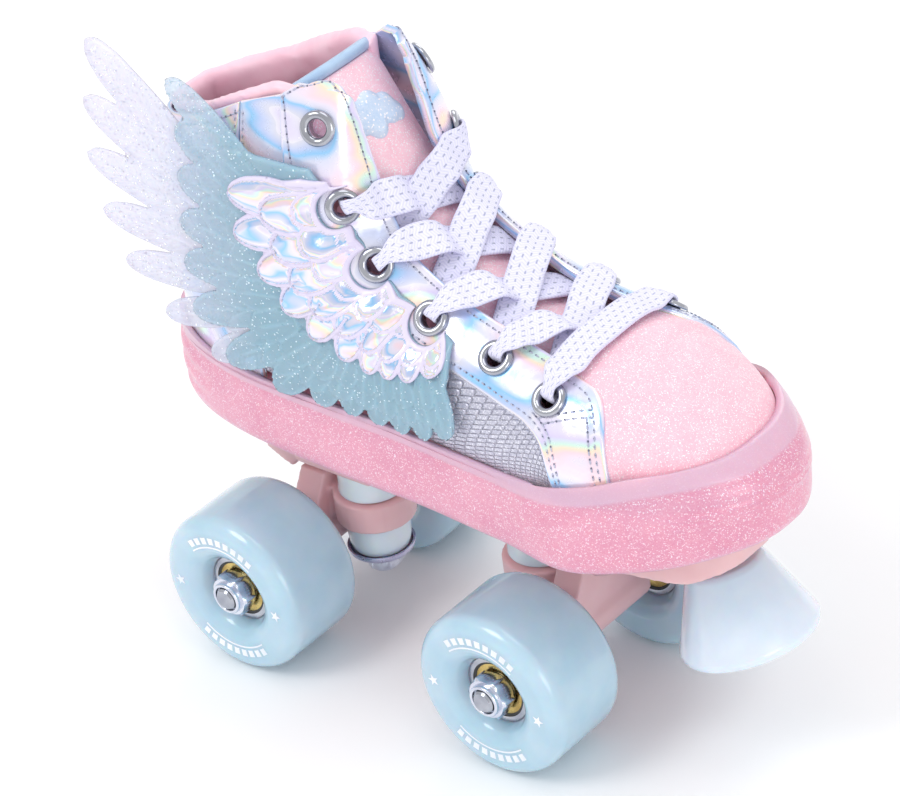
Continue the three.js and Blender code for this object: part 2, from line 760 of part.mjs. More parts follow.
const clearFeathers = [
  [-34, 156, -90, 199.5, 7], [-32, 151, -90, 181.5, 7], [-30, 146, -89.5, 166, 6.5],
  [-30, 140, -85, 147.5, 6.5], [-32, 134, -79, 132.5, 6], [-34, 126, -66, 118, 5.5],
  [-32, 119, -52, 106.5, 5],
];
const clearBody = [[-34, 160], [-44, 156], [-46, 118], [-36, 112], [-24, 116], [-22, 150]];
const blueFeathers = [
  [-22, 166, -60.5, 192.5, 7], [-24, 160, -63, 176, 7], [-24, 152, -64, 161, 7],
  [-22, 144, -64, 147, 7], [-22, 136, -63, 133, 7], [-20, 130, -57, 119, 6.5],
  [-14, 126, -44, 107, 6.5], [-6, 124, -28, 102.4, 6], [0, 124, -12, 102.6, 5.5],
  [6, 122, 0, 102.8, 5], [12, 122, 11, 103, 5], [18, 122, 20.5, 103.4, 4.6],
  [25, 122, 29.5, 104.6, 4.4], [32, 124, 38.5, 107.6, 4.6],
];
// The front edge of the wing runs through three of the outer eyelets.
const wingEyelets = [2, 3, 4];
const wingFrontEdge = wingEyelets.map((index) => eyeletSpots[index]).reverse();
const blueBody = [
  [-46, 175.5], [-30, 178], [-10, 178], ...wingFrontEdge,
  [35, 132], [37, 124], [36, 116], [10, 116], [-20, 118], [-48, 128],
];
const crestFeathers = [
  [-8, 170.5, -43.5, 166, 6.2], [-10, 163, -42, 153, 6.2], [-8, 156, -33, 142, 6],
  [-4, 150, -26, 133, 5.8], [0, 145, -16, 126.4, 5.4], [6, 140, -3.5, 122.2, 5],
  [12, 137, 6.5, 120, 4.4], [17, 135, 14.5, 120, 4.2], [23, 131, 23, 121, 4],
  [29.5, 133, 32.5, 124, 4],
];
const crestBody = [
  [-30, 171], [-12, 175.5], [-5, 174.5], ...wingFrontEdge, [31.5, 134.5],
  [30, 130], [12, 130], [-10, 136], [-30, 154],
];

function wingPrimary() {
  return wingLayer(
    { x: [-96, -20], z: [100, 206], off: 1.8, thickness: 1, cells: [5, 4] },
    feathers(clearFeathers, clearBody),
  );
}

function wingSecondary() {
  const sheet = wingLayer(
    { x: [-70, 44], z: [101.6, 198], off: 3.2, thickness: 1.2, cells: [10, 6] },
    feathers(blueFeathers, blueBody),
  );
  return pierced(sheet, -1, wingEyelets, eyeletRadius + 1.6);
}

function wingCrest() {
  const sheet = wingLayer(
    { x: [-48, 40], z: [116, 180], off: 4.8, thickness: 2.2, cells: [8, 5] },
    feathers(crestFeathers, crestBody),
  );
  return pierced(sheet, -1, wingEyelets, eyeletRadius + 1.2);
}

// ---------------------------------------------------------------- baseplate and trucks
// A truck is drawn with +X pointing away from the middle of the skate.
const ringMiddle = (ringBottom + ringTop) / 2;
const tiltAxis = new THREE.Vector2(pivotFromMiddle - kingpinFromMiddle, pivotHeight - ringMiddle)
  .normalize();
const alongTilt = (distance) => [
  pivotFromMiddle + tiltAxis.x * distance, 0, pivotHeight + tiltAxis.y * distance,
];
const pinRadius = 3.4;
const cupRadius = 6;
const cupTop = 6;
const innerWheelFace = (track - wheelWidth) / 2;

// A bar along X whose cross-section is a [y, z] outline.
function barAlongX(outline, from, to) {
  const geometry = plate(outline, to - from);
  geometry.rotateX(Math.PI / 2);
  geometry.rotateZ(Math.PI / 2);
  geometry.translate((from + to) / 2, 0, 0);
  return facingOut(geometry);
}

// Round bars on the kingpin's line and on the axle's line.
const onKingpin = (radius, from, to, segments) =>
  cylinder(radius, [kingpinFromMiddle, 0, from], [kingpinFromMiddle, 0, to], segments);
const onAxle = (radius, end, segments) =>
  cylinder(radius, [axleFromMiddle, -end, axleHeight], [axleFromMiddle, end, axleHeight], segments);

function hanger() {
  const height = ringTop - ringBottom;
  const ring = onKingpin(ringRadius, ringBottom, ringTop, 28);
  const tube = onAxle(axleRadius + 2.6, innerWheelFace - 2 * gap, 20);
  const shoulder = innerWheelFace - 2.5;
  const neck = 8;
  const gusset = barAlongX([
    [-shoulder, axleHeight - 4], [shoulder, axleHeight - 4], [shoulder, axleHeight + 4],
    [neck, ringTop + 5], [-neck, ringTop + 5], [-shoulder, axleHeight + 4],
  ], axleFromMiddle - 5, axleFromMiddle + 5);
  const armRoot = kingpinFromMiddle + ringRadius - 1.3;
  const arm = standingPlate([
    [armRoot, ringBottom], [axleFromMiddle - 3, axleHeight - 3],
    [axleFromMiddle + 3, ringTop + 3], [armRoot, ringTop],
  ], 15);
  const pin = cylinder(pinRadius, alongTilt(-9.5), alongTilt(3), 16);
  const body = join(ring, tube, gusset, facingOut(arm), pin);
  const kingpinHole = onKingpin(kingpinRadius + 2, ringBottom - height, ringTop + height, 20);
  return cut(body, kingpinHole, onAxle(axleRadius + gap, track, 16));
}

function pivotCup() {
  return turned([
    [pinRadius + gap, -4], [cupRadius, -4], [cupRadius, cupTop], [0, cupTop],
    [0, 3 + gap], [pinRadius + gap, 3 + gap],
  ], 16);
}

function placedAlongTilt(geometry) {
  const turn = new THREE.Quaternion().setFromUnitVectors(
    new THREE.Vector3(0, 0, 1), new THREE.Vector3(tiltAxis.x, 0, tiltAxis.y));
  geometry.applyQuaternion(turn);
  geometry.translate(...alongTilt(0));
  return geometry;
}

const outwards = (geometry, end) => {
  if (end === "rear") geometry.rotateZ(Math.PI);
  return geometry;
};

function truckBlock() {
  const top = plateBottom + 1;
  const halfLength = 15;
  const boss = barAlongX(
    [[-16.5, blockBottom], [16.5, blockBottom], [19.5, top], [-19.5, top]],
    kingpinFromMiddle - halfLength, kingpinFromMiddle + halfLength,
  );
  const pivotHousing = standingPlate([
    [kingpinFromMiddle + 12, top], [kingpinFromMiddle + 14, blockBottom + 1.8],
    [pivotFromMiddle - 1, pivotHeight - 6.5], [pivotFromMiddle + 9, pivotHeight - 2],
    [pivotFromMiddle + 9, top],
  ], 16);
  return [boss, facingOut(pivotHousing)];
}

const plateTop = soleBottom + bootLift - gap;
const plateBack = -pivotFromMiddle - 17;
const plateFront = 116;
const stopSeat = plateBottom - 3.4;
const headSeat = plateBottom - 2.9; // what the kingpin's head rests on

// The deck is the plate's outline from above, trimmed to its outline from the side.
function deck() {
  const halfWidth = through([[plateBack, 21], [0, 22], [70, 25], [plateFront, 27]]);
  const ring = planRing(planOutline(plateBack, plateFront, 3, halfWidth), 0, () => 0, 36);
  const slabDepth = 40;
  const slab = plate(ring.map((point) => [point.x, point.y]), slabDepth);
  slab.translate(0, 0, plateBottom + slabDepth / 4);
  const under = (x) => [x, soleUnderside(x) + bootLift - gap];
  const back = plateBack - 2;
  const front = plateFront + 2;
  const side = standingPlate([
    [back, plateBottom], [66, plateBottom], [76, stopSeat], [104, stopSeat], [front, plateBottom + 2.1],
    under(front), under(95), [70, plateTop], [back, plateTop],
  ], 80);
  return common(facingOut(slab), facingOut(side));
}

function baseplate() {
  const rear = truckBlock().map((geometry) => outwards(geometry, "rear"));
  const body = join(deck(), ...rear, ...truckBlock());
  const past = 6; // how far each drill runs past what it cuts
  const holes = ["front", "rear"].flatMap((end) => {
    const shank = onKingpin(kingpinRadius + gap, blockBottom - past, plateTop + past, 16);
    const head = onKingpin(kingpinHeadRadius + 0.5, headSeat, plateTop + past, 16);
    const cup = cylinder(cupRadius + gap, alongTilt(-2 * past), alongTilt(cupTop + gap), 16);
    return [shank, head, cup].map((geometry) => outwards(geometry, end));
  });
  const bolt = placedOnStop(cylinder(stopBoltRadius + gap, [0, 0, -2], [0, 0, 9], 16));
  return cut(body, ...holes, bolt);
}

function kingpin() {
  const seat = headSeat + gap;
  const headTop = headSeat + 3.5;
  const geometry = turned([
    [0, kingpinBottom], [kingpinRadius - 0.6, kingpinBottom], [kingpinRadius, kingpinBottom + 0.7],
    [kingpinRadius, seat], [kingpinHeadRadius, seat], [kingpinHeadRadius, headTop], [0, headTop],
  ], 16);
  geometry.translate(kingpinFromMiddle, 0, 0);
  return geometry;
}

const nutHeight = 6;
const kingpinNutBottom = kingpinBottom + 0.8;
const washerBottom = kingpinNutBottom + nutHeight + gap;
const washerHeight = 3.2;

// A hexagon nut with the round collar that holds its locking ring.
function nut({ flats, height, collar: [collarRadius, collarRise], bore: boreRadius }) {
  const prism = plate(hexagon(flats), height);
  prism.translate(0, 0, height / 2);
  const top = height + collarRise;
  const collar = cylinder(collarRadius, [0, 0, 0.5], [0, 0, top], 20);
  const bore = cylinder(boreRadius, [0, 0, -1], [0, 0, top + 1], 16);
  return cut(join(facingOut(prism), collar), bore);
}

function kingpinNut() {
  const collarRise = 1.2;
  const geometry = nut({
    flats: kingpinNutFlats,
    height: nutHeight - collarRise,
    collar: [kingpinNutFlats * 0.44, collarRise],
    bore: kingpinRadius + gap,
  });
  geometry.rotateX(Math.PI);
  geometry.translate(kingpinFromMiddle, 0, kingpinNutBottom + nutHeight);
  return geometry;
}

function cushionWasher() {
  const rim = cushionRadius + 0.7;
  const geometry = turned([
    [kingpinRadius + gap, washerBottom], [rim - 2.2, washerBottom], [rim - 0.3, washerBottom + 1.4],
    [rim, washerBottom + washerHeight], [rim - 0.9, washerBottom + washerHeight],
    [rim - 1.6, washerBottom + 1.7], [kingpinRadius + gap, washerBottom + 1.3],
  ], 18);
  geometry.translate(kingpinFromMiddle, 0, 0);
  return geometry;
}

function cushion(bottom, top, bottomRadius, topRadius) {
  const edge = 1;
  const geometry = turned([
    [kingpinRadius + gap, bottom], [bottomRadius - edge, bottom], [bottomRadius, bottom + edge],
    [topRadius, top - edge], [topRadius - edge, top], [kingpinRadius + gap, top],
  ], 16);
  geometry.translate(kingpinFromMiddle, 0, 0);
  return geometry;
}

const lowerCushionBottom = washerBottom + 1.7 + gap;
const lowerCushion = () =>
  cushion(lowerCushionBottom, ringBottom - gap, cushionRadius - 1.2, cushionRadius);
const upperCushion = () => cushion(ringTop + gap, blockBottom - gap, cushionRadius + 0.6, cushionRadius);

// ---------------------------------------------------------------- toe stop
const stopTop = new THREE.Vector3(103.5, 0, stopSeat - 2.1);

// Moves a body drawn round Z, with its top at the origin, into the stop's place.
function placedOnStop(geometry) {
  geometry.rotateY(-toeStopLean);
  geometry.translate(...stopTop.toArray());
  return geometry;
}

const stopPocket = 6; // depth of the recess that the bolt's head sits in

function toeStop() {
  const bottom = -toeStopHeight;
  const hole = stopBoltRadius + gap;
  return placedOnStop(turned([
    [hole, bottom + stopPocket], [7, bottom + stopPocket], [7.6, bottom], [toeStopBottomRadius - 3, bottom],
    [toeStopBottomRadius - 0.6, bottom + 1.2], [toeStopBottomRadius, bottom + 4],
    [toeStopTopRadius + 0.4, -1.6], [toeStopTopRadius - 1.2, 0], [hole, 0],
  ], 24));
}

function toeStopBolt() {
  const bottom = -toeStopHeight + stopPocket;
  const seat = bottom - gap - 0.2;
  const headRadius = stopBoltRadius + 1.8;
  return placedOnStop(turned([
    [0, bottom - 2], [headRadius, bottom - 2], [headRadius, seat], [stopBoltRadius, seat],
    [stopBoltRadius, 8], [0, 8],
  ], 16));
}

// ---------------------------------------------------------------- wheels
// Drawn round Z with the outer face up at half the width, then laid along Y.
function tyre() {
  const half = wheelWidth / 2;
  const seat = bearingRadius + gap;
  const corner = [];
  for (let i = 0; i <= 2; i++) {
    const angle = (i / 2) * (Math.PI / 2);
    corner.push([
      wheelRadius - wheelEdgeRadius * (1 - Math.cos(angle)),
      half - wheelEdgeRadius * (1 - Math.sin(angle)),
    ]);
  }
  const shoulder = half - hubRecess - bearingWidth - gap;
  const dish = [[seat + 5.2, half - 0.2], [seat + 1.5, half - 2.6], [seat, half - hubRecess + 0.6]];
  const inside = [[seat, shoulder], [seat - 2.3, shoulder]];
  const upperHalf = [...corner, ...dish, ...inside];
  const lowerHalf = upperHalf.map(([radius, height]) => [radius, -height]).reverse();
  return turned([...upperHalf, ...lowerHalf], 20);
}

function bearingSet() {
  const face = wheelWidth / 2 - hubRecess;
  const back = face - bearingWidth;
  const bore = axleRadius + gap;
  const half = [
    [bore, face], [bearingRadius, face], [bearingRadius, back], [bore + 1.5, back],
  ];
  const other = half.map(([radius, height]) => [radius, -height]).reverse();
  return turned([...half, ...other], 16);
}

function axleNut() {
  return nut({
    flats: axleNutFlats,
    height: 5.2,
    collar: [axleNutFlats * 0.45, 1.6],
    bore: axleRadius + gap,
  });
}

function axle() {
  const half = track / 2 + wheelWidth / 2 + axleStandOut;
  const geometry = turned([
    [0, -half], [axleRadius - 1, -half], [axleRadius, -half + 1], [axleRadius, half - 1],
    [axleRadius - 1, half], [0, half],
  ], 16);
  geometry.rotateX(Math.PI / 2);
  geometry.translate(axleFromMiddle, 0, axleHeight);
  return geometry;
}

// ---------------------------------------------------------------- assembly
const skate = new THREE.Group();
skate.name = "quad_roller_skate";
const put = (parent, name, geometry, material) => parent.add(piece(name, geometry, material));

const boot = new THREE.Group();
boot.name = "boot";
boot.position.z = bootLift;
skate.add(boot);
put(boot, "outsole", outsole(), finishes.solePink);
put(boot, "insole", insole(), finishes.insole);
put(boot, "toe_vamp", toeVamp(), finishes.glitterPink);
put(boot, "heel_quarter", heelQuarter(), finishes.holographic);
put(boot, "collar_lining", collarLining(), finishes.satin);
put(boot, "tongue", tongue(), finishes.glitterPink);
put(boot, "tongue_binding", tongueBinding(), finishes.binding);
put(boot, "tongue_patch", tonguePatch(), finishes.patch);
put(boot, "lace", lace(), finishes.lace);
put(boot, "wing_primary", wingPrimary(), finishes.clearWing);
put(boot, "wing_secondary", wingSecondary(), finishes.blueWing);
put(boot, "wing_crest", wingCrest(), finishes.crest);

const holeRadius = eyeletHole + eyeletWall + 2 * gap;
for (const [sideName, side] of [["right", -1], ["left", 1]]) {
  const withHoles = (geometry) => pierced(geometry, side, allEyelets, holeRadius);
  put(boot, `quarter_${sideName}`, withHoles(quarter(side)), finishes.scales);
  put(boot, `eyestay_${sideName}`, withHoles(eyestay(side)), finishes.holographic);
  for (const index of allEyelets) {
    put(boot, `eyelet_${sideName}_${index + 1}`, eyelet(index, side), finishes.steel);
  }
}

const undercarriage = new THREE.Group();
undercarriage.name = "undercarriage";
skate.add(undercarriage);
put(undercarriage, "baseplate", baseplate(), finishes.chassis);
put(undercarriage, "toe_stop", toeStop(), finishes.wheel);
put(undercarriage, "toe_stop_bolt", toeStopBolt(), finishes.steel);

for (const end of ["front", "rear"]) {
  const truck = new THREE.Group();
  truck.name = `${end}_truck`;
  truck.rotation.z = end === "front" ? 0 : Math.PI;
  skate.add(truck);
  put(truck, `${end}_kingpin`, kingpin(), finishes.steel);
  put(truck, `${end}_kingpin_nut`, kingpinNut(), finishes.steel);
  put(truck, `${end}_cushion_washer`, cushionWasher(), finishes.steel);
  put(truck, `${end}_lower_cushion`, lowerCushion(), finishes.cushion);
  put(truck, `${end}_upper_cushion`, upperCushion(), finishes.cushion);
  put(truck, `${end}_pivot_cup`, placedAlongTilt(pivotCup()), finishes.rubber);
  put(truck, `${end}_hanger`, hanger(), finishes.chassis);
  put(truck, `${end}_axle`, axle(), finishes.steel);
  for (const sign of [-1, 1]) {
    const onRight = (end === "front") === (sign < 0);
    const corner = `${end}_${onRight ? "right" : "left"}`;
    const wheel = new THREE.Group();
    wheel.name = `${corner}_wheel`;
    wheel.position.set(axleFromMiddle, (sign * track) / 2, axleHeight);
    wheel.rotation.x = -sign * Math.PI / 2;
    truck.add(wheel);
    put(wheel, `${corner}_tyre`, tyre(), finishes.wheel);
    put(wheel, `${corner}_bearings`, bearingSet(), finishes.bearing);
    const fastening = piece(`${corner}_axle_nut`, axleNut(), finishes.steel);
    fastening.position.z = wheelWidth / 2 - hubRecess + gap;
    wheel.add(fastening);
  }
}

export default skate;
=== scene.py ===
# %% [markdown]
# # A winged quad roller skate
# A child's high-top skate: a soft glitter boot on a clear rubber cup sole, a moulded
# plastic chassis with two sprung trucks, four soft wheels, a toe stop, and a layered
# feather wing on the outer side. The CAD model is loaded first as a fixed frame, and
# every piece made here lies where its solid lies in that frame.

import math

import bpy
import numpy as np
from mathutils import Matrix, Vector


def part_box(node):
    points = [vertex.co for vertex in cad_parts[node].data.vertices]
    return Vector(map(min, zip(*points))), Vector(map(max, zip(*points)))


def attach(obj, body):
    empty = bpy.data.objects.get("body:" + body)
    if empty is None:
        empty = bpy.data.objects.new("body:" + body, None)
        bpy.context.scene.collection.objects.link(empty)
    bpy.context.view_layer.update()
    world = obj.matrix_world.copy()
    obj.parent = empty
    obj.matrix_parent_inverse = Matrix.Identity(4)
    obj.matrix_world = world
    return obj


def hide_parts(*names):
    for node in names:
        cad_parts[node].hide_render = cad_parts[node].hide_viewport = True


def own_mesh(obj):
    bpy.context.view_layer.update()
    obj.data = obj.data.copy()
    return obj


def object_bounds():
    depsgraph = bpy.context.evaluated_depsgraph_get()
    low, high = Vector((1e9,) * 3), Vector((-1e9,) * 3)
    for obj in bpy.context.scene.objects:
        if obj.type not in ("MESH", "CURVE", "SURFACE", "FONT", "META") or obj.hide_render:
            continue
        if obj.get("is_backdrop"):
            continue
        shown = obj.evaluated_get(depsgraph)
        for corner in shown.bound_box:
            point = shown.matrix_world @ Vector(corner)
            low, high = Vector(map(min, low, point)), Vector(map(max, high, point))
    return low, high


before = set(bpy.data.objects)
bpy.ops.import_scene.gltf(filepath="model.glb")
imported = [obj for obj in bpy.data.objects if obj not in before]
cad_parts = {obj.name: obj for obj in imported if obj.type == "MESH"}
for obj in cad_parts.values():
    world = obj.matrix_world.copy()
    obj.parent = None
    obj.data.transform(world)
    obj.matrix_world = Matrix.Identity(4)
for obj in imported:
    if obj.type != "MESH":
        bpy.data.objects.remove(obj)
cad_box = [list(corner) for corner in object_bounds()]
MM = 0.001  # everything below is written in millimetres and made in metres
BOOT = "boot_and_plate"
print("CAD box in mm:", [[round(v / MM, 1) for v in corner] for corner in cad_box])

# %% [markdown]
# ## Smooth measurements
# A boot has no straight lines, so its heights and widths are given at a few stations
# along the foot. A curve through them must not swing past the stations, or the toe
# would get bumps. The harmonic mean of the neighbouring slopes keeps it inside them.


# %% Curves through stations
def through(pairs):
    """A smooth function through [place, value] pairs that never overshoots them."""
    places, values = np.array(pairs, float).T
    slope = np.diff(values) / np.diff(places)
    product = slope[:-1] * slope[1:]
    total = np.where(product > 0, slope[:-1] + slope[1:], 1)
    inner = np.where(product > 0, 2 * product / total, 0)
    tangent = np.concatenate([slope[:1], inner, slope[-1:]])

    def at(place):
        place = np.clip(place, places[0], places[-1])
        i = np.clip(np.searchsorted(places, place) - 1, 0, len(places) - 2)
        width = places[i + 1] - places[i]
        t = (place - places[i]) / width
        value = (1 + 2 * t) * (1 - t) ** 2 * values[i] + t * t * (3 - 2 * t) * values[i + 1]
        return value + width * (t * (1 - t) ** 2 * tangent[i] - t * t * (1 - t) * tangent[i + 1])

    return at


def path_through(points):
    """The same for points: their coordinates by fraction 0 to 1 along the path."""
    share = np.linspace(0, 1, len(points))
    parts = [through(list(zip(share, column))) for column in np.array(points, float).T]
    return lambda fraction: [part(fraction) for part in parts]


def lerp(a, b, t):
    return a + (b - a) * t


def smooth(value, low, high):
    t = np.clip((value - low) / (high - low), 0, 1)
    return t * t * (3 - 2 * t)


# %% [markdown]
# ## The shape of the upper
# The lasted upper is one surface. At each station along the foot its cross-section is
# a rounded arch as wide as the plan outline and as high as the crest line, and every
# fabric panel, seam, eyelet and feather is laid on it by station and angle.

# %% Plan, crest and collar
FEATHERLINE = 99.0  # height where the upper sits down into the sole
ARCH = 2.3  # roundness of the cross-section
UPPER_BACK, UPPER_FRONT = -91.0, 123.5
SOLE_BACK, SOLE_FRONT = -94.5, 131.0
FABRIC = 1.7
OVERLAY = 1.2  # height of the stitched overlays' face above the fabric


def plan_outline(back, front, power, half_width):
    """Half-width by station of an oval whose width changes along the foot."""

    def at(x):
        e = np.clip(np.abs(x - (back + front) / 2) / ((front - back) / 2), 0, 1)
        return half_width(x) * (1 - e**power) ** (1 / power)

    return at


upper_plan = plan_outline(UPPER_BACK, UPPER_FRONT, 2.6, through([
    [UPPER_BACK, 37], [-60, 36], [0, 33], [45, 36.2], [85, 41.2], [105, 40], [UPPER_FRONT, 34],
]))
sole_plan = plan_outline(SOLE_BACK, SOLE_FRONT, 2.5, through([
    [SOLE_BACK, 42], [-60, 38.5], [-20, 36], [10, 35.8], [50, 39], [85, 46.5], [108, 45], [SOLE_FRONT, 37],
]))
crest_height = through([
    [UPPER_BACK, 206], [-70, 214], [-40, 218], [-15, 214], [-6, 203], [2, 172], [10, 159],
    [26, 146], [46, 137], [66, 132.5], [82, 131], [94, 128], [104, 123.5], [112, 118], [118, 111],
    [UPPER_FRONT, 100],
])
collar_height = through([[UPPER_BACK, 171], [-75, 176], [-60, 181], [-25, 196], [-12, 200], [0, 201]])


def skin_point(x, angle):
    along = np.clip(x, UPPER_BACK + 0.01, UPPER_FRONT - 0.01)
    across = np.sign(angle) * np.abs(np.sin(angle)) ** (2 / ARCH)
    z = FEATHERLINE + (crest_height(along) - FEATHERLINE) * np.abs(np.cos(angle)) ** (2 / ARCH)
    lean = 4 * np.clip((z - FEATHERLINE) / 75, 0, 1.3) * smooth(-along, 35, -UPPER_BACK)
    return np.stack([along + lean, upper_plan(along) * across, z], -1)


def skin(x, angle, off=0.0):
    """Points of the upper, moved `off` outwards. Angle 0 is the crest, and the outer side is negative."""
    x, angle, off = np.broadcast_arrays(*(np.asarray(v, float) for v in (x, angle, off)))
    step = 0.01
    turn = np.where(angle >= 0, step, -step)
    ahead = skin_point(x + step, angle) - skin_point(x - step, angle)
    around = (skin_point(x, angle + turn) - skin_point(x, angle)) * np.sign(turn)[..., None]
    normal = np.cross(around, ahead)
    outwards = np.stack([np.zeros_like(angle), np.sin(angle), np.cos(angle)], -1)
    flip = np.sign((normal * outwards).sum(-1))
    normal *= (flip / np.linalg.norm(normal, axis=-1))[..., None]
    return skin_point(x, angle) + normal * off[..., None]


def angle_at_height(x, z):
    up = np.clip((z - FEATHERLINE) / (crest_height(x) - FEATHERLINE), 0, 1)
    return np.arccos(up ** (ARCH / 2))


def angle_at_width(x, y):
    return np.arcsin(np.clip(y / upper_plan(x), 0, 1) ** (ARCH / 2))


def on_side(x, z, side, off=0.0):
    return skin(x, side * angle_at_height(x, z), off)


def heel_station(fraction, front_x):
    """Round the heel: -1 is the front end on the outer side, and 0 the back seam."""
    x = lerp(UPPER_BACK + 0.02, front_x, np.abs(fraction) ** 2.2)
    return x, np.where(fraction < 0, -1.0, 1.0)


LOWEST = math.pi / 2 - 0.02
print("ankle width in mm:", round(2 * float(upper_plan(-40)), 1))

# %% [markdown]
# ## Making meshes
# Each piece is a mesh built from arrays of points. It rides on a body of the frame
# and stands for the solids that it replaces. The points go
# in as they lie in the frame, so that every object stays at the origin, unturned.


# %% From points to pieces
def make_piece(name, points, faces, finish, body=BOOT, slot=None, replaces=(), uv=None, marks=None):
    """A smooth-shaded mesh from points in mm. uv and marks hold values for each point."""
    mesh = bpy.data.meshes.new(name)
    mesh.from_pydata((np.asarray(points, float) * MM).tolist(), [], faces)
    mesh.validate()
    corners = np.empty(len(mesh.loops), np.int32)
    mesh.loops.foreach_get("vertex_index", corners)
    if uv is not None:
        layer = mesh.uv_layers.new(name="UVMap")
        layer.data.foreach_set("uv", np.asarray(uv, np.float32)[corners].ravel())
    for key, values in (marks or {}).items():
        attribute = mesh.attributes.new(key, "FLOAT", "POINT")
        attribute.data.foreach_set("value", np.asarray(values, np.float32))
    mesh.shade_smooth()
    piece = bpy.data.objects.new(name, mesh)
    bpy.context.collection.objects.link(piece)
    for material in finish if isinstance(finish, list) else [finish]:
        mesh.materials.append(material)
    return placed(piece, body, slot, replaces)


def placed(piece, body, slot=None, replaces=()):
    if body:
        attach(piece, body)
    if replaces:
        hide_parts(*replaces)
    return piece


def grid_faces(rows, columns, start=0, wrap=False):
    """Quads over a grid of points that is stored row by row. wrap joins the last column to the first."""
    r, c = np.meshgrid(np.arange(rows - 1), np.arange(columns if wrap else columns - 1), indexing="ij")
    here = r * columns + c
    right = r * columns + (c + 1) % columns
    quads = np.stack([here, right, right + columns, here + columns], -1) + start
    return quads.reshape(-1, 4).tolist()


def tube_faces(points, rows, columns):
    """Faces of a body made of closed rings stored one after another, with both end rings filled."""
    ends = [list(range(columns)), list(range(len(points) - columns, len(points)))[::-1]]
    return oriented(points, grid_faces(rows, columns, wrap=True) + ends)[1]


def oriented(points, faces):
    """Like outwards, for a body that also has many-sided end faces."""
    volume = 0.0
    for face in faces:
        corner = points[face]
        volume += float((corner[0] * np.cross(corner[1:-1], corner[2:])).sum())
    return points, ([face[::-1] for face in faces] if volume < 0 else faces)


def closed_grid(outer, inner):
    """Points and faces of a shell between two equal grids, closed all round the edge."""
    rows, columns = outer.shape[:2]
    count = rows * columns
    index = np.arange(count).reshape(rows, columns)
    rim = np.concatenate([index[0, :-1], index[:-1, -1], index[-1, :0:-1], index[:0:-1, 0]])
    faces = grid_faces(rows, columns)
    faces += [quad[::-1] for quad in grid_faces(rows, columns, count)]
    following = np.roll(rim, -1)
    faces += np.stack([rim + count, following + count, following, rim], -1).tolist()
    points = np.concatenate([outer.reshape(-1, 3), inner.reshape(-1, 3)])
    return outwards(points, faces)


def outwards(points, faces):
    """The same mesh with every face turned over if the body is inside out."""
    volume = 0.0
    for corners in (3, 4):
        chosen = np.array([f for f in faces if len(f) == corners])
        if len(chosen):
            for k in range(1, corners - 1):
                a, b, c = (points[chosen[:, i]] for i in (0, k, k + 1))
                volume += float((a * np.cross(b, c)).sum())
    return points, ([face[::-1] for face in faces] if volume < 0 else faces)


def edged(count, length, roll):
    """Fractions 0 to 1 in even steps, with extra ones close to both ends for a rolled edge."""
    close = np.array([0, 0.08, 0.25, 0.5, 1.0]) * roll / length
    even = np.linspace(close[-1], 1 - close[-1], count)
    return np.concatenate([close[:-1], even, (1 - close[:-1])[::-1]])


def rolled(u, v, lengths, roll):
    """How far the face drops at each point because the panel's edges are rolled over."""
    inside = np.minimum.reduce([u * lengths[0], (1 - u) * lengths[0], v * lengths[1], (1 - v) * lengths[1]])
    near = 1 - np.clip(inside / roll, 0, 1)
    return roll * (1 - np.sqrt(1 - near**2))


def panel(name, place, lengths, finish, top=0.0, bottom=-FABRIC, roll=0.7, step=1.2, relief=None, **more):
    """A sewn panel: place(u, v, off) gives points on it, and relief(u, v, points) raises its face."""
    counts = [max(6, int(length / step)) for length in lengths]
    us, vs = (edged(count, length, roll) for count, length in zip(counts, lengths))
    u, v = np.meshgrid(us, vs, indexing="ij")
    face = np.full(u.shape, float(top)) - rolled(u, v, lengths, roll)
    if relief:
        face = face + relief(u, v, place(u, v, face))
    points, faces = closed_grid(place(u, v, face), place(u, v, np.full(u.shape, float(bottom))))
    uv = np.stack([u * lengths[0], v * lengths[1]], -1).reshape(-1, 2)
    return make_piece(name, points, faces, finish, uv=np.concatenate([uv, uv]), **more)


def lathe(profile, segments=72):
    """Points and faces of a closed [radius, height] profile turned about Z."""
    profile = np.array(profile, float)
    turn = np.linspace(0, 2 * math.pi, segments, endpoint=False)
    ring = np.stack([np.cos(turn), np.sin(turn)], -1)
    points = np.concatenate([
        np.concatenate([ring * radius, np.full((segments, 1), height)], 1) for radius, height in profile
    ])
    faces = grid_faces(len(profile), segments, wrap=True)
    last = (len(profile) - 1) * segments
    if profile[0][0] > 0.01:
        faces += [[last + i, last + (i + 1) % segments, (i + 1) % segments, i] for i in range(segments)]
    return points, faces


def rounded(profile, radius=0.5, steps=3):
    """A closed profile with an arc of up to `radius` at each corner that lies off the axis."""
    profile = np.array(profile, float)
    result = []
    for i, corner in enumerate(profile):
        before, after = profile[i - 1], profile[(i + 1) % len(profile)]
        reach = min(radius, 0.45 * np.linalg.norm(before - corner), 0.45 * np.linalg.norm(after - corner))
        if corner[0] < 0.01:
            result.append(corner)
            continue
        a = corner + (before - corner) / np.linalg.norm(before - corner) * reach
        b = corner + (after - corner) / np.linalg.norm(after - corner) * reach
        for t in np.linspace(0, 1, steps + 1):
            result.append((1 - t) ** 2 * a + 2 * t * (1 - t) * corner + t * t * b)
    return np.array(result)


def turned_to(points, direction, place):
    """Points drawn round Z, turned so that Z points along `direction` and moved to `place`."""
    turn = Vector((0, 0, 1)).rotation_difference(Vector(direction)).to_matrix()
    return np.asarray(points) @ np.array(turn).T + np.asarray(place, float)


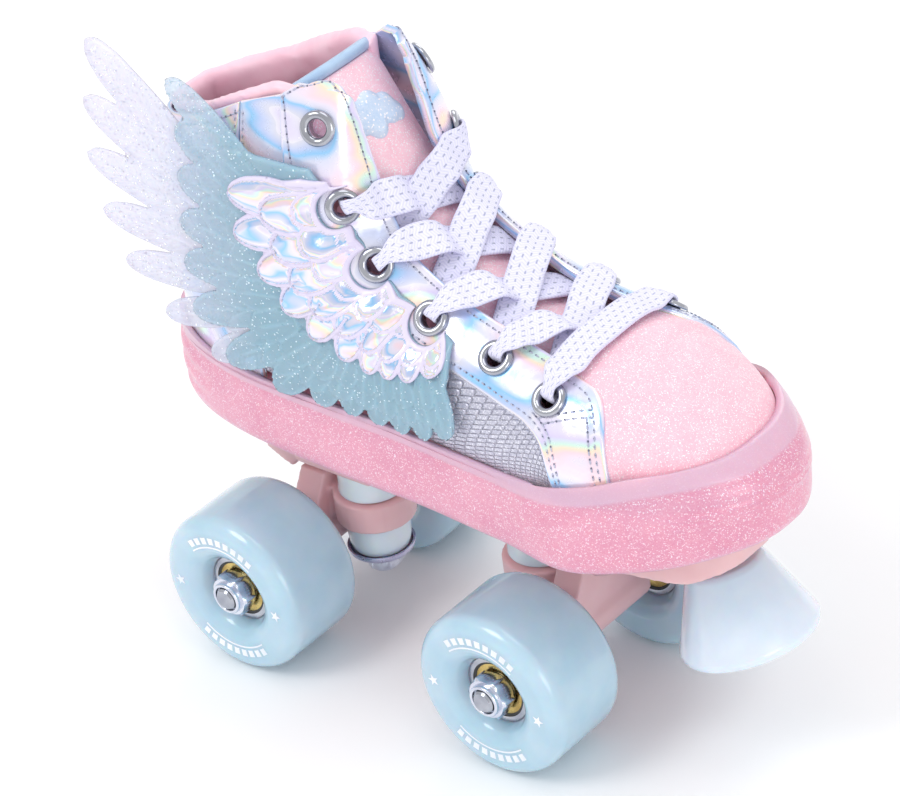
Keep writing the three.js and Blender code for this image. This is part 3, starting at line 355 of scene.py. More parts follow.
def together(parts):
    """One set of points and faces, and a part number for each face, from several."""
    points, faces, owner, start = [], [], [], 0
    for number, (part_points, part_faces) in enumerate(parts):
        points.append(part_points)
        faces += [[index + start for index in face] for face in part_faces]
        owner += [number] * len(part_faces)
        start += len(part_points)
    return np.concatenate(points), faces, owner


def paint_parts(piece, owner, choice):
    """Gives each face the finish that `choice` names for the part that it belongs to."""
    piece.data.polygons.foreach_set("material_index", [choice[number] for number in owner])
    return piece

# %% [markdown]
# ## Building finishes
# Every finish is a small node tree in front of one Principled shader. The helpers below
# add a node and wire it in one line, so that each finish reads as a recipe. Patterns use
# Object coordinates, which stay put on a piece, and their sizes are given in millimetres.


# %% Node helpers
def colour(red, green, blue):
    """A colour from 0 to 255 per channel, as the linear values that shaders use."""
    values = [v / 255 for v in (red, green, blue)]
    return tuple(v / 12.92 if v < 0.04045 else ((v + 0.055) / 1.055) ** 2.4 for v in values) + (1.0,)


def feed(tree, node, inputs):
    """Sets or links a node's inputs, which may be given by name or by number."""
    for key, value in dict(inputs).items():
        if isinstance(value, bpy.types.NodeSocket):
            tree.links.new(value, node.inputs[key])
        else:
            node.inputs[key].default_value = value


class Finish:
    """A material under construction. Sockets of its shader are set by name."""

    def __init__(self, name, **sockets):
        self.material = bpy.data.materials.new(name)
        self.material.use_nodes = True
        self.tree = self.material.node_tree
        self.shader = self.tree.nodes["Principled BSDF"]
        for key, value in sockets.items():
            self.shader.inputs[key.replace("_", " ")].default_value = value
        self.place = self.node("ShaderNodeTexCoord").outputs["Object"]

    def node(self, kind, inputs=(), **settings):
        made = self.tree.nodes.new(kind)
        for key, value in settings.items():
            setattr(made, key, value)
        feed(self.tree, made, inputs)
        return made

    def noise(self, size, detail=2.0, place=None):
        inputs = {"Vector": place or self.place, "Scale": 1 / (size * MM), "Detail": detail}
        return self.node("ShaderNodeTexNoise", inputs).outputs["Fac"]

    def cells(self, size, place=None, feature="F1", randomness=1.0):
        inputs = {"Vector": place or self.place, "Scale": 1 / (size * MM), "Randomness": randomness}
        return self.node("ShaderNodeTexVoronoi", inputs, feature=feature)

    def maths(self, operation, *values):
        inputs = dict(enumerate(values))
        return self.node("ShaderNodeMath", inputs, operation=operation).outputs[0]

    def vectors(self, operation, inputs):
        return self.node("ShaderNodeVectorMath", inputs, operation=operation).outputs[0]

    def rescale(self, value, low, high, to_low=0.0, to_high=1.0):
        inputs = {"Value": value, "From Min": low, "From Max": high, "To Min": to_low, "To Max": to_high}
        return self.node("ShaderNodeMapRange", inputs).outputs[0]

    def ramp(self, value, stops, interpolation="LINEAR"):
        made = self.node("ShaderNodeValToRGB", {"Fac": value})
        made.color_ramp.interpolation = interpolation
        elements = made.color_ramp.elements
        while len(elements) < len(stops):
            elements.new(1.0)
        for element, (position, shade) in zip(elements, stops):
            element.position = position
            element.color = shade
        return made.outputs["Color"]

    def blend(self, factor, a, b):
        made = self.node("ShaderNodeMix", {0: factor, 6: a, 7: b}, data_type="RGBA")
        return made.outputs[2]

    def bump(self, height, distance, strength=1.0, normal=None):
        inputs = {"Height": height, "Distance": distance * MM, "Strength": strength}
        if normal is not None:
            inputs["Normal"] = normal
        return self.node("ShaderNodeBump", inputs).outputs[0]

    def tilted(self, direction, amount, mask=None):
        """The surface normal, leaned by a random direction as loose flakes lie."""
        centred = self.vectors("SUBTRACT", {0: direction, 1: (0.5, 0.5, 0.5)})
        size = amount if mask is None else self.maths("MULTIPLY", mask, amount)
        lean = self.vectors("SCALE", {0: centred, "Scale": size})
        normal = self.node("ShaderNodeNewGeometry").outputs["Normal"]
        return self.vectors("NORMALIZE", {0: self.vectors("ADD", {0: normal, 1: lean})})

    def attribute(self, name):
        return self.node("ShaderNodeAttribute", attribute_name=name).outputs["Fac"]

    def across_and_along(self):
        uv = self.node("ShaderNodeTexCoord").outputs["UV"]
        split = self.node("ShaderNodeSeparateXYZ", {0: uv})
        return split.outputs[0], split.outputs[1]

    def wire(self, **sockets):
        for key, value in sockets.items():
            self.tree.links.new(value, self.shader.inputs[key.replace("_", " ")])
        return self.material


# %% [markdown]
# ## Glitter
# Glitter is thousands of tiny flat flakes lying at slightly different angles under a
# clear coat. A Voronoi texture gives each flake its own cell: its random colour picks
# which flakes shine and leans the surface normal, so they flash as real flakes do.


# %% Glitter finishes
def glitter(
    name, base, deep, glint, size, share, lean=0.5, mottle=6.0, plain=None, plain_colour=None, **sockets
):
    """share is the part of the flakes that shine. base and deep vary over `mottle` mm.
    Where the attribute `plain` is 1 the colour is plain_colour, and most flakes are hidden."""
    finish = Finish(name, **sockets)
    flake = finish.cells(size).outputs["Color"]
    pick = finish.node("ShaderNodeSeparateXYZ", {0: flake})
    shining = finish.rescale(pick.outputs[0], 1 - share, 1 - share * 0.6)
    cloud = finish.rescale(finish.noise(mottle, 3.0), 0.35, 0.65)
    ground = finish.blend(cloud, base, deep)
    grain = finish.rescale(pick.outputs[1], 0.0, 1.0, 0.0, 0.18)
    ground = finish.blend(grain, ground, glint)
    if plain:
        smooth_part = finish.attribute(plain)
        ground = finish.blend(finish.maths("MULTIPLY", smooth_part, 0.8), ground, plain_colour)
        shining = finish.maths("MULTIPLY", shining, finish.rescale(smooth_part, 0.0, 1.0, 1.0, 0.15))
    roughness = finish.rescale(shining, 0.0, 1.0, finish.shader.inputs["Roughness"].default_value, 0.25)
    # The shining flakes take the pale glint colour: a painted highlight on real flakes, which also lean and
    # turn glossier.
    return finish.wire(
        Base_Color=finish.blend(shining, ground, glint),
        Roughness=roughness,
        Normal=finish.tilted(flake, lean, finish.rescale(shining, 0.0, 1.0, 0.35, 1.0)),
    )


# The pale colour of shining flakes: a painted glint.
PAINTED_GLINT_WHITE = colour(255, 252, 255)
vamp_finish = glitter(
    "pink_glitter_fabric", colour(248, 192, 208), colour(243, 184, 202), PAINTED_GLINT_WHITE, 0.27, 0.12,
    lean=0.9, Roughness=0.55, Sheen_Weight=0.25,
)
tongue_finish = glitter(
    "pink_glitter_tongue", colour(252, 204, 218), colour(247, 192, 208), PAINTED_GLINT_WHITE, 0.27, 0.12,
    lean=0.8, Roughness=0.6, Sheen_Weight=0.25,
)
sole_finish = glitter(
    "clear_pink_rubber", colour(228, 150, 176), colour(220, 136, 166), colour(252, 226, 238), 0.28, 0.11,
    lean=0.4, mottle=14.0, plain="lip", plain_colour=colour(224, 178, 200), Roughness=0.3,
    Subsurface_Weight=0.2, Coat_Weight=0.25,
)
print("glitter finishes:", [m.name for m in (vamp_finish, tongue_finish, sole_finish)])

# %% [markdown]
# ## Holographic film
# The silver film splits light into soft bands of blue, lilac, peach and mint. A mirror
# would only copy the studio, so the bands are painted: slow noise, stretched along the
# foot and pushed by the surface's own direction, runs through a ramp of pastel metals.


# %% Holographic finishes
PASTEL_METALS = [
    (0.0, colour(226, 226, 240)), (0.16, colour(196, 210, 246)), (0.27, colour(150, 205, 248)),
    (0.36, colour(222, 226, 246)), (0.5, colour(240, 232, 250)), (0.6, colour(252, 222, 232)),
    (0.68, colour(255, 232, 208)), (0.76, colour(214, 246, 232)), (0.86, colour(224, 214, 250)),
    (1.0, colour(240, 238, 248)),
]


def holographic(finish, band=26.0, turn=0.7):
    """The film's colour: bands about `band` mm wide that also follow how the surface faces."""
    facing = finish.node("ShaderNodeTexCoord").outputs["Normal"]
    slope = finish.node("ShaderNodeVectorMath", {0: facing, 1: (0.5, 0.35, 0.8)}, operation="DOT_PRODUCT")
    stretch = finish.node("ShaderNodeMapping", {"Vector": finish.place, "Scale": (0.55, 1.0, 1.35)})
    drift = finish.noise(band, 1.5, stretch.outputs[0])
    turned = finish.maths("MULTIPLY", slope.outputs[1], turn)
    value = finish.maths("ADD", turned, finish.maths("MULTIPLY", drift, 3.2))
    return finish.ramp(finish.maths("FRACT", value), PASTEL_METALS)


def film(name, band, wrinkle, **sockets):
    finish = Finish(name, **sockets)
    creases = finish.noise(7.0, 2.0)
    return finish.wire(
        Base_Color=holographic(finish, band),
        Normal=finish.bump(creases, wrinkle),
        Roughness=finish.rescale(finish.noise(3.0), 0.3, 0.7, 0.16, 0.3),
    )


trim_finish = film("holographic_film", 30.0, 0.3, Metallic=0.35, Coat_Weight=0.4)

# %% [markdown]
# ## Fish-scale fabric
# The side panels are silver glitter cloth embossed with rows of small overlapping scales.
# Each scale is a circle whose centre sits on a brick-like grid, so the panel's own UV map,
# which is in millimetres, is folded into cells and every second row is shifted by half.


# %% Scale, satin, tape, foam and lace finishes
def scale_finish(name, width=3.1, height=1.8):
    finish = Finish(name, Metallic=0.45, Roughness=0.38)
    along, up = finish.across_and_along()
    row = finish.maths("FLOOR", finish.maths("DIVIDE", up, height))
    odd = finish.maths("MULTIPLY", finish.maths("MODULO", row, 2.0), width / 2)
    across = finish.maths("ADD", along, odd)
    s = finish.maths("SUBTRACT", finish.maths("FRACT", finish.maths("DIVIDE", across, width)), 0.5)
    t = finish.maths("FRACT", finish.maths("DIVIDE", up, height))
    arc = finish.maths("SUBTRACT", t, finish.maths("MULTIPLY", finish.maths("MULTIPLY", s, s), 2.6))
    edge = finish.rescale(finish.maths("ABSOLUTE", finish.maths("SUBTRACT", arc, 0.2)), 0.0, 0.22)
    flake = finish.cells(0.38).outputs["Color"]
    shine = finish.node("ShaderNodeSeparateXYZ", {0: flake}).outputs[0]
    # Flakes that shine are lighter: painted sparkle on the cloth's flakes.
    body = finish.blend(finish.rescale(shine, 0.55, 1.0), colour(196, 196, 214), colour(240, 240, 252))
    bumped = finish.bump(finish.maths("MULTIPLY", edge, 1.0), 0.35)
    # The scale outlines, low in the bump, are darker: painted shade in the embossed grooves.
    return finish.wire(
        Base_Color=finish.blend(finish.rescale(edge, 0.0, 0.6, 0.55, 0.0), body, colour(156, 156, 180)),
        Normal=finish.bump(shine, 0.12, 0.8, bumped),
    )


def woven(name, base, deep, thread, depth, **sockets):
    """Plain cloth: two sets of threads, `thread` mm apart, with slow colour variation."""
    finish = Finish(name, **sockets)
    sines = []
    split = finish.node("ShaderNodeSeparateXYZ", {0: finish.place})
    for axis in range(3):
        turns = finish.maths("MULTIPLY", split.outputs[axis], 2 * math.pi / (thread * MM))
        sines.append(finish.maths("SINE", turns))
    weave = finish.maths("MULTIPLY", finish.maths("MULTIPLY", sines[0], sines[1]), sines[2])
    shade = finish.rescale(finish.noise(9.0, 3.0), 0.3, 0.7)
    return finish.wire(
        Base_Color=finish.blend(shade, base, deep),
        Normal=finish.bump(weave, depth),
    )


side_finish = scale_finish("silver_scale_fabric")
satin = woven(
    "padded_satin", colour(255, 216, 230), colour(252, 200, 218), 0.55, 0.03,
    Roughness=0.36, Sheen_Weight=0.6, Sheen_Roughness=0.3, Specular_IOR_Level=0.6,
)
tape = woven(
    "folded_tape", colour(190, 216, 242), colour(168, 200, 236), 0.5, 0.08,
    Roughness=0.35, Metallic=0.25, Sheen_Weight=0.3,
)
foam = woven(
    "brushed_insole", colour(238, 190, 205), colour(226, 172, 190), 0.7, 0.1,
    Roughness=0.9, Sheen_Weight=0.4,
)
patch_finish = glitter(
    "soft_patch", colour(206, 222, 242), colour(190, 212, 238), PAINTED_GLINT_WHITE, 0.5, 0.1, lean=0.35, Roughness=0.45,
)


def lace_finish():
    """A flat plaited lace: slanting threads that meet in the middle, with silver dashes."""
    finish = Finish("woven_lace", Roughness=0.75, Sheen_Weight=0.15)
    lane_count, dash_spacing, thread_width = 5.0, 3.0, 1.05
    across, along = finish.across_and_along()
    thirds = finish.maths("FRACT", finish.maths("MULTIPLY", across, 3.0))
    folded = finish.maths("ABSOLUTE", finish.maths("SUBTRACT", thirds, 0.5))
    slant = finish.maths("ADD", finish.maths("MULTIPLY", folded, 2.4), along)
    thread = finish.maths("SINE", finish.maths("MULTIPLY", slant, 2 * math.pi / thread_width))
    lanes = finish.maths("MULTIPLY", across, lane_count)
    off_middle = finish.maths("ABSOLUTE", finish.maths("SUBTRACT", finish.maths("FRACT", lanes), 0.5))
    lane = finish.rescale(off_middle, 0.09, 0.15, 1.0, 0.0)
    stagger = finish.maths("MULTIPLY", finish.maths("FLOOR", lanes), 1.1)
    dash = finish.maths("FRACT", finish.maths("DIVIDE", finish.maths("ADD", along, stagger), dash_spacing))
    silver = finish.maths("MULTIPLY", lane, finish.rescale(dash, 0.55, 0.65))
    # Each thread's low half, where the bump dips, is darker: painted shade between the threads.
    ground = finish.blend(finish.rescale(thread, -1.0, 0.0), colour(218, 217, 246), colour(232, 231, 254))
    inner = finish.blend(finish.maths("MULTIPLY", silver, 0.6), ground, colour(132, 140, 166))
    return finish.wire(
        Base_Color=inner,
        Metallic=finish.maths("MULTIPLY", silver, 0.2),
        Normal=finish.bump(thread, 0.04),
    )


lace_cloth = lace_finish()
print("fabric finishes:", [m.name for m in (side_finish, satin, tape, foam, patch_finish, lace_cloth)])

# %% [markdown]
# ## Soft plastics and metals
# The feathers are moulded in clear soft plastic with flakes cast inside. Some light goes
# straight through them and some scatters in the milky body, so the shader mixes a little
# transparency with a scattering base. The wheels and stop are the same, but nearly solid.


# %% Feather, urethane, chassis and metal finishes
def feather_plastic(name, tip, root, glint, dark, alpha, reach):
    """Clear soft plastic. `reach` is where along the foot the tint is deepest and gone, in mm."""
    finish = Finish(name, Roughness=0.24, Coat_Weight=0.35, Subsurface_Weight=0.15, IOR=1.42)
    flake = finish.cells(0.42).outputs["Color"]
    pick = finish.node("ShaderNodeSeparateXYZ", {0: flake})
    bright = finish.rescale(pick.outputs[0], 0.972, 0.982)
    shaded = finish.rescale(pick.outputs[1], 0.955, 0.97)
    x = finish.node("ShaderNodeSeparateXYZ", {0: finish.place}).outputs[0]
    depth = finish.rescale(x, reach[0] * MM, reach[1] * MM)
    wisps = finish.rescale(finish.noise(11.0, 3.0), 0.3, 0.7, -0.15, 0.15)
    body = finish.blend(finish.maths("ADD", depth, wisps), tip, root)
    # Shaded flakes are painted a darker colour and bright flakes the pale glint colour: painted shade and
    # painted glint on real flakes.
    specked = finish.blend(finish.maths("MULTIPLY", shaded, 0.75), body, dark)
    raised = finish.attribute("rib")
    clear = finish.rescale(depth, 0.0, 1.0, *alpha)
    opacity = finish.maths("ADD", clear, finish.maths("MULTIPLY", raised, 0.16))
    return finish.wire(
        Base_Color=finish.blend(bright, specked, glint),
        Alpha=finish.maths("MAXIMUM", opacity, finish.maths("MAXIMUM", bright, shaded)),
        Normal=finish.tilted(flake, 0.5, bright),
    )


# In each, the third colour is the painted glint and the fourth the painted shade of the flakes.
clear_feathers_finish = feather_plastic(
    "clear_feather_plastic", colour(232, 228, 246), colour(222, 224, 240), PAINTED_GLINT_WHITE, colour(150, 150, 176),
    (0.5, 0.66), (-90, -40),
)
blue_feathers_finish = feather_plastic(
    "blue_feather_plastic", colour(204, 220, 238), colour(158, 194, 212), colour(236, 248, 255),
    colour(112, 156, 176), (0.42, 0.66), (-62, -30),
)


def crest_finish():
    """The puffed wing: holographic cells inside a thick pale border, told apart by `rim`."""
    finish = Finish("puffed_holographic_vinyl", Roughness=0.2, Coat_Weight=0.4)
    rim = finish.rescale(finish.attribute("rim"), 0.35, 0.65)
    film_colour = holographic(finish, 17.0, 1.2)
    return finish.wire(
        Base_Color=finish.blend(rim, film_colour, colour(222, 214, 240)),
        Metallic=finish.rescale(rim, 0.0, 1.0, 0.68, 0.0),
        Roughness=finish.rescale(rim, 0.0, 1.0, 0.16, 0.34),
        Normal=finish.bump(finish.noise(3.2, 2.0), 0.16),
    )


def milky(name, base, deep, **sockets):
    """Cast urethane: a cloudy body with faint flow marks and a softly worn skin."""
    finish = Finish(name, Subsurface_Weight=0.35, **sockets)
    flow = finish.rescale(finish.noise(13.0, 4.0), 0.3, 0.7)
    scuffs = finish.rescale(finish.noise(5.0, 4.0), 0.45, 0.75, 0.16, 0.28)
    return finish.wire(
        Base_Color=finish.blend(flow, base, deep),
        Roughness=scuffs,
        Normal=finish.bump(finish.noise(3.0, 2.0), 0.012),
    )


def moulded_plastic(name, base, deep, **sockets):
    """Injection-moulded plastic: a fine even grain over a flat pale colour."""
    finish = Finish(name, **sockets)
    shade = finish.rescale(finish.noise(17.0, 2.0), 0.35, 0.65)
    return finish.wire(
        Base_Color=finish.blend(shade, base, deep),
        Roughness=finish.rescale(finish.noise(1.6, 4.0), 0.4, 0.7, 0.34, 0.48),
        Normal=finish.bump(finish.noise(0.35, 2.0), 0.02),
    )


def metal(name, base, worn, grain=0.25, **sockets):
    """Plated metal with a slightly cloudy plating and fine scratches."""
    finish = Finish(name, Metallic=1.0, **sockets)
    cloud = finish.rescale(finish.noise(6.0, 2.0), 0.35, 0.7)
    return finish.wire(
        Base_Color=finish.blend(cloud, base, worn),
        Roughness=finish.rescale(finish.noise(2.0, 3.0), 0.3, 0.7, grain - 0.04, grain + 0.05),
        Normal=finish.bump(finish.noise(0.6, 2.0), 0.003),
    )


crest_vinyl = crest_finish()
wheel_urethane = milky("wheel_urethane", colour(180, 211, 227), colour(166, 203, 222), Coat_Weight=0.5)
stop_urethane = milky("stop_urethane", colour(212, 228, 242), colour(200, 220, 236), Coat_Weight=0.8)
cushion_urethane = milky("cushion_urethane", colour(250, 249, 254), colour(242, 240, 248))
wheel_print = moulded_plastic("wheel_print", colour(244, 246, 252), colour(230, 236, 246))
chassis_plastic = moulded_plastic(
    "pale_pink_plastic", colour(236, 192, 196), colour(230, 182, 187),
    Coat_Weight=0.15, Subsurface_Weight=0.1,
)
pivot_rubber = moulded_plastic("pivot_rubber", colour(214, 208, 222), colour(200, 194, 210))
nickel = metal("polished_nickel", colour(188, 190, 198), colour(164, 166, 176), 0.13)
zinc = metal("zinc_plate", colour(226, 230, 240), colour(206, 212, 228), 0.2)
cup_zinc = metal("washer_zinc", colour(208, 208, 230), colour(186, 188, 216), 0.24)
gold_shield = metal("gold_shield", colour(214, 190, 120), colour(178, 150, 88), 0.26)
dark_ring = moulded_plastic("dark_seal", colour(46, 44, 44), colour(30, 30, 32))
race_steel = metal("race_steel", colour(188, 192, 200), colour(160, 164, 176), 0.2)
thread_grey = moulded_plastic("silver_thread", colour(196, 198, 216), colour(172, 174, 196))
# Dark beads at the needle holes: painted shade in the holes.
needle_hole_shade = moulded_plastic("painted_needle_hole_shade", colour(118, 120, 142), colour(98, 100, 122))
print("finishes in all:", len(bpy.data.materials))

# %% [markdown]
# ## The cup sole
# The sole is one cast rubber cup. Its wall is a stack of outlines of the same plan, each
# drawn in or out a little: it bellies at the middle, and a smooth lip runs round the top.
# Round the heel three soft ridges follow the wall, and two thin lines cross the bumper.

# %% Outsole and insole
sole_underside = through([[SOLE_BACK, 73.2], [70, 73.2], [95, 76.5], [SOLE_FRONT, 84]])
sole_lip = through([
    [SOLE_BACK, 105], [-82, 102.5], [-55, 100.6], [50, 100.4], [75, 101.4], [95, 105.5], [110, 109.8],
    [SOLE_FRONT, 112],
])
FOOTBED = 98.6
SOLE_CLEARANCE = 1.95

stations = np.linspace(UPPER_FRONT, UPPER_FRONT - 25, 2501)
LIP_FRONT = float(stations[np.argmax(crest_height(stations) >= sole_lip(stations))])


def lip_plan(x):
    """Half-width of the upper where the lip meets it."""
    return upper_plan(x) * np.sin(angle_at_height(x, sole_lip(x))) ** (2 / ARCH)


def plan_ring(plan, back, front, inset, height, count=260):
    """One level of the cup: the plan outline drawn in by `inset`, which may vary along it."""
    turn = 2 * math.pi * (np.arange(count) + 0.5) / count
    x = (back + front) / 2 + (front - back) / 2 * 0.9995 * np.cos(turn)
    side = np.where(np.sin(turn) >= 0, 1.0, -1.0)
    slope = (plan(x + 0.02) - plan(x - 0.02)) / 0.04
    length = np.hypot(slope, 1)
    drawn_in = inset(x) if callable(inset) else inset
    px = x + slope / length * drawn_in
    py = side * (plan(x) - drawn_in / length)
    return np.stack([px, py, height(px)], -1)


LIP_START = 0.83  # share of the wall's height where the smooth lip begins


def make_outsole():
    wall = through([
        [0, 4.5], [0.03, 2.6], [0.08, 1.2], [0.16, 0.4], [0.3, 0.05], [0.5, 0.0], [0.66, 0.25], [0.78, 0.7],
        [LIP_START, 1.15], [0.855, 0.8], [0.93, 0.85], [1.0, 1.2],
    ])
    lip = plan_ring(lip_plan, UPPER_BACK, LIP_FRONT, -SOLE_CLEARANCE, sole_lip)
    levels = np.concatenate([[0], np.linspace(0.01, 1, 58)])
    rings = []
    for level in levels:
        def inset(x, level=level):
            heel = smooth(-x, 62, 84) * 0.55 * np.sin(level * 8.2 * math.pi) * smooth(level, 0.12, 0.3)
            ridges = sum(np.exp(-(((level - middle) / 0.03) ** 2)) for middle in (0.5, 0.58))
            bumper = smooth(x, 100, 122) * 0.4 * ridges
            return wall(level) + np.maximum(heel, -0.3) * (level < LIP_START) - bumper
        def height(x, level=level):
            return lerp(sole_underside(x), sole_lip(x), level)
        ring = plan_ring(sole_plan, SOLE_BACK, SOLE_FRONT, inset, height)
        drawn_in = 0.9 * np.clip((level - 0.6) / 0.4, 0, 1) ** 2.2
        ring[:, :2] = lerp(ring[:, :2], lip[:, :2], drawn_in)
        rings.append(ring)
    def hug(x):
        return -(0.45 + (SOLE_CLEARANCE - 0.45) * smooth(x, 66, 72) * (1 - smooth(x, 97, 103)))
    rings.append(plan_ring(lip_plan, UPPER_BACK, LIP_FRONT, hug, lambda x: sole_lip(x) + 0.1))
    rings.append(plan_ring(lip_plan, UPPER_BACK, LIP_FRONT, hug, lambda x: sole_lip(x) - 0.6))
    rings.append(plan_ring(upper_plan, UPPER_BACK, UPPER_FRONT, -SOLE_CLEARANCE, lambda x: FOOTBED + 0 * x))
    points = np.concatenate(rings)
    count = len(rings[0])
    in_lip = [float(smooth(level, LIP_START, LIP_START + 0.03)) for level in levels] + [1.0] * 3
    return make_piece(
        "cup_sole", points, tube_faces(points, len(rings), count), sole_finish, slot="sole_rubber",
        replaces=["outsole"], marks={"lip": np.repeat(in_lip, count)},
    )


def make_insole():
    """A flat pad whose edge is drawn in and down, ring by ring."""
    rings, count = [], 160
    for inset, lift in [(3.2, 0.3), (2.7, 1.2), (3.2, 2.3), (4.5, 2.7), (9, 2.7), (16, 2.5), (24, 2.4)]:
        rings.append(plan_ring(
            upper_plan, UPPER_BACK, UPPER_FRONT, lambda x, i=inset: i * smooth(upper_plan(x), 0, 30) + 1.2,
            lambda x, h=lift: FOOTBED + h + 0 * x, count,
        ))
    points = np.concatenate(rings)
    faces = tube_faces(points, len(rings), count)
    return make_piece("cushioned_insole", points, faces, foam, slot="insole_foam", replaces=["insole"])


cup_sole = make_outsole()
make_insole()
print("sole faces:", len(cup_sole.data.polygons))

# %% [markdown]
# ## The vamp
# The toe is one piece of glitter cloth pulled over a last, so it is smooth at the tip and
# only puckers a little beside the throat, where the laces draw it in. It is modelled
# directly on the last's surface, with its rear edge rolled under the eyestays.

# %% Toe vamp
vamp_seam = through([
    [0, 73.5], [0.38, 74], [0.46, 80], [0.54, 87.8], [0.757, 90.8], [1.14, 93], [1.57, 95.8],
])

TUCK = 6.0  # how far the vamp reaches under the eyestays


def vamp_place(u, v, off):
    angle = lerp(-LOWEST, LOWEST, v)
    deeper = 4.0 * np.exp(-(((np.abs(angle) - 0.5) / 0.16) ** 2))
    x = lerp(vamp_seam(np.abs(angle)) - TUCK - deeper, UPPER_FRONT - 2.2, np.sin(u * math.pi / 2))
    return skin(x, angle, off)


def vamp_creases(u, v, points):
    x, y = points[..., 0], points[..., 1]
    pucker = np.exp(-(((x - 82 - 0.12 * y) / 2.6) ** 2)) * smooth(y, 2, 14) * smooth(-y, -30, -20)
    fold = np.exp(-(((x - 80 + 0.25 * y) / 3.4) ** 2)) * np.exp(-((y / 9) ** 2))
    return 0.9 * pucker + 0.5 * fold - 0.35 * np.exp(-(((x - 87 - 0.12 * y) / 2.2) ** 2)) * smooth(y, 0, 12)


panel(
    "toe_vamp_cloth", vamp_place, (62, 118), vamp_finish, relief=vamp_creases, slot="glitter_fabric",
    replaces=["toe_vamp"],
)

# %% [markdown]
# ## Eyestays, side panels and heel
# The eyestays, with the flap that runs down to the sole, the collar panels and the heel
# are holographic film over foam. Each panel is a shell whose edges are rolled over,
# because a sewn edge is never sharp, and the film dips along the stitching.

# %% Film and scale panels
THROAT_HALF = 12.5
eyestay_inner = path_through([
    [-18, 199.2], [-9, 199.4], [-4.6, 194], [-1.4, 181], [2.6, 167], [12.5, 151.5], [31, 139.6],
    [52, 132.6], [70, 129], [82.5, 126.4], [87, 122.5], [91, 113], [94.2, 101],
])
eyestay_outer = path_through([
    [-23.6, 195.4], [-23.4, 190], [-22.6, 182], [-20.5, 170], [-15, 156], [-3, 142.5], [14, 131.5],
    [34, 124.6], [52, 120], [64, 117.2], [70, 113.5], [73, 107.5], [75, 101],
])
HEEL_SEAM = -40.0
quarter_low = path_through([
    *[[HEEL_SEAM + 0.3, z] for z in (190, 176, 160, 142, 118, 99.2)],
    *[[x, 99.2] for x in (-22, -4, 14, 32, 50, 62, 72)],
])


UNDERLAP = 2.4  # how far a side panel reaches under the eyestay


def eyestay_place(side):
    def place(u, v, off):
        inner_x, inner_z = eyestay_inner(u)
        outer_x, outer_z = eyestay_outer(u)
        inner = np.maximum(angle_at_height(inner_x, inner_z), angle_at_width(inner_x, THROAT_HALF))
        angle = lerp(inner, angle_at_height(outer_x, outer_z), v)
        return skin(lerp(inner_x, outer_x, v), side * np.minimum(angle, LOWEST), off)
    return place


def quarter_place(side, first=0.0, last=1.0):
    def place(u, v, off):
        u = lerp(first, last, u)
        outer_x, outer_z = eyestay_outer(u)
        low_x, low_z = quarter_low(u)
        edge = lerp(-UNDERLAP / 40, 1, v)
        x = lerp(outer_x, low_x, edge)
        angle = angle_at_height(x, lerp(outer_z, low_z, edge))
        return skin(x, side * np.minimum(angle, LOWEST), off)
    return place


def heel_place(u, v, off):
    x, side = heel_station(lerp(-1, 1, u), HEEL_SEAM - 0.15)
    return on_side(x, lerp(FEATHERLINE + 0.2, collar_height(x), v), side, off)


def seam_dip(positions, index, lengths, width=1.3, depth=0.35):
    """A shallow groove where a seam runs at each fraction across the panel."""
    def relief(u, v, points):
        at = (u, v)[index]
        return -depth * sum(np.exp(-((((at - p) * lengths[index]) / width) ** 2)) for p in positions)
    return relief


COLLAR_END = 0.36  # share of the seam where the film of the collar gives way to the scales
SIDES = {"right": -1, "left": 1}
panels = {}
for name, side in SIDES.items():
    panels[f"eyestay_{name}"] = panel(
        f"eyestay_film_{name}", eyestay_place(side), (150, 14), trim_finish,
        top=OVERLAY, roll=0.8, step=0.9,
        relief=seam_dip((0.13, 0.88), 1, (150, 14), 0.8, 0.22), slot="holographic_trim",
        replaces=[f"eyestay_{name}"],
    )
    panels[f"quarter_{name}"] = panel(
        f"scale_panel_{name}", quarter_place(side, COLLAR_END, 1), (95, 26), side_finish,
        slot="scale_fabric",
        replaces=[f"quarter_{name}"],
    )
    panels[f"collar_{name}"] = panel(
        f"collar_film_{name}", quarter_place(side, 0, COLLAR_END - 0.004), (48, 20), trim_finish,
        slot="holographic_trim",
    )
heel = panel(
    "heel_film", heel_place, (160, 82), trim_finish, relief=seam_dip((0.5,), 0, (160, 82)),
    slot="holographic_trim", replaces=["heel_quarter"],
)
print("panels:", [p.name for p in panels.values()])

# %% [markdown]
# ## The padded collar
# The collar is satin over thick foam, rolled outwards at the top. Foam cannot be drawn,
# only inflated: a slim version of the roll is turned into an even mesh, and the cloth
# simulation blows it up a little, as the foam does inside the satin.


# %% Collar by cloth simulation
LINING_FRONT = -20.5


def collar_profile(top, low):
    """The rolled edge as [outwards, height] pairs, a little slimmer than the finished foam."""
    return [
        [-3.2, low], [-3.2, top - 0.8], [-2.2, top + 1.0], [-1.0, top + 1.3], [-1.0, top + 2.5],
        [-2.8, top + 4.0], [-5.2, top + 3.8], [-7.0, top + 1.6], [-7.2, top - 4], [-6.0, top - 14],
        [-5.2, low + 12], [-5.0, low],
    ]


def make_collar_core():
    count = 120
    rings = []
    for fraction in np.linspace(-1, 1, count):
        x, side = heel_station(fraction, LINING_FRONT)
        top = float(collar_height(x)) - 3.0 * float(smooth(x, -30, LINING_FRONT))
        rings.append([on_side(x, z, side, off) for off, z in collar_profile(top, FEATHERLINE + 8)])
    points = np.array(rings).reshape(-1, 3)
    faces = tube_faces(points, count, len(rings[0]))
    return make_piece(
        "padded_collar", points, faces, satin, slot="satin_lining", replaces=["collar_lining"]
    )


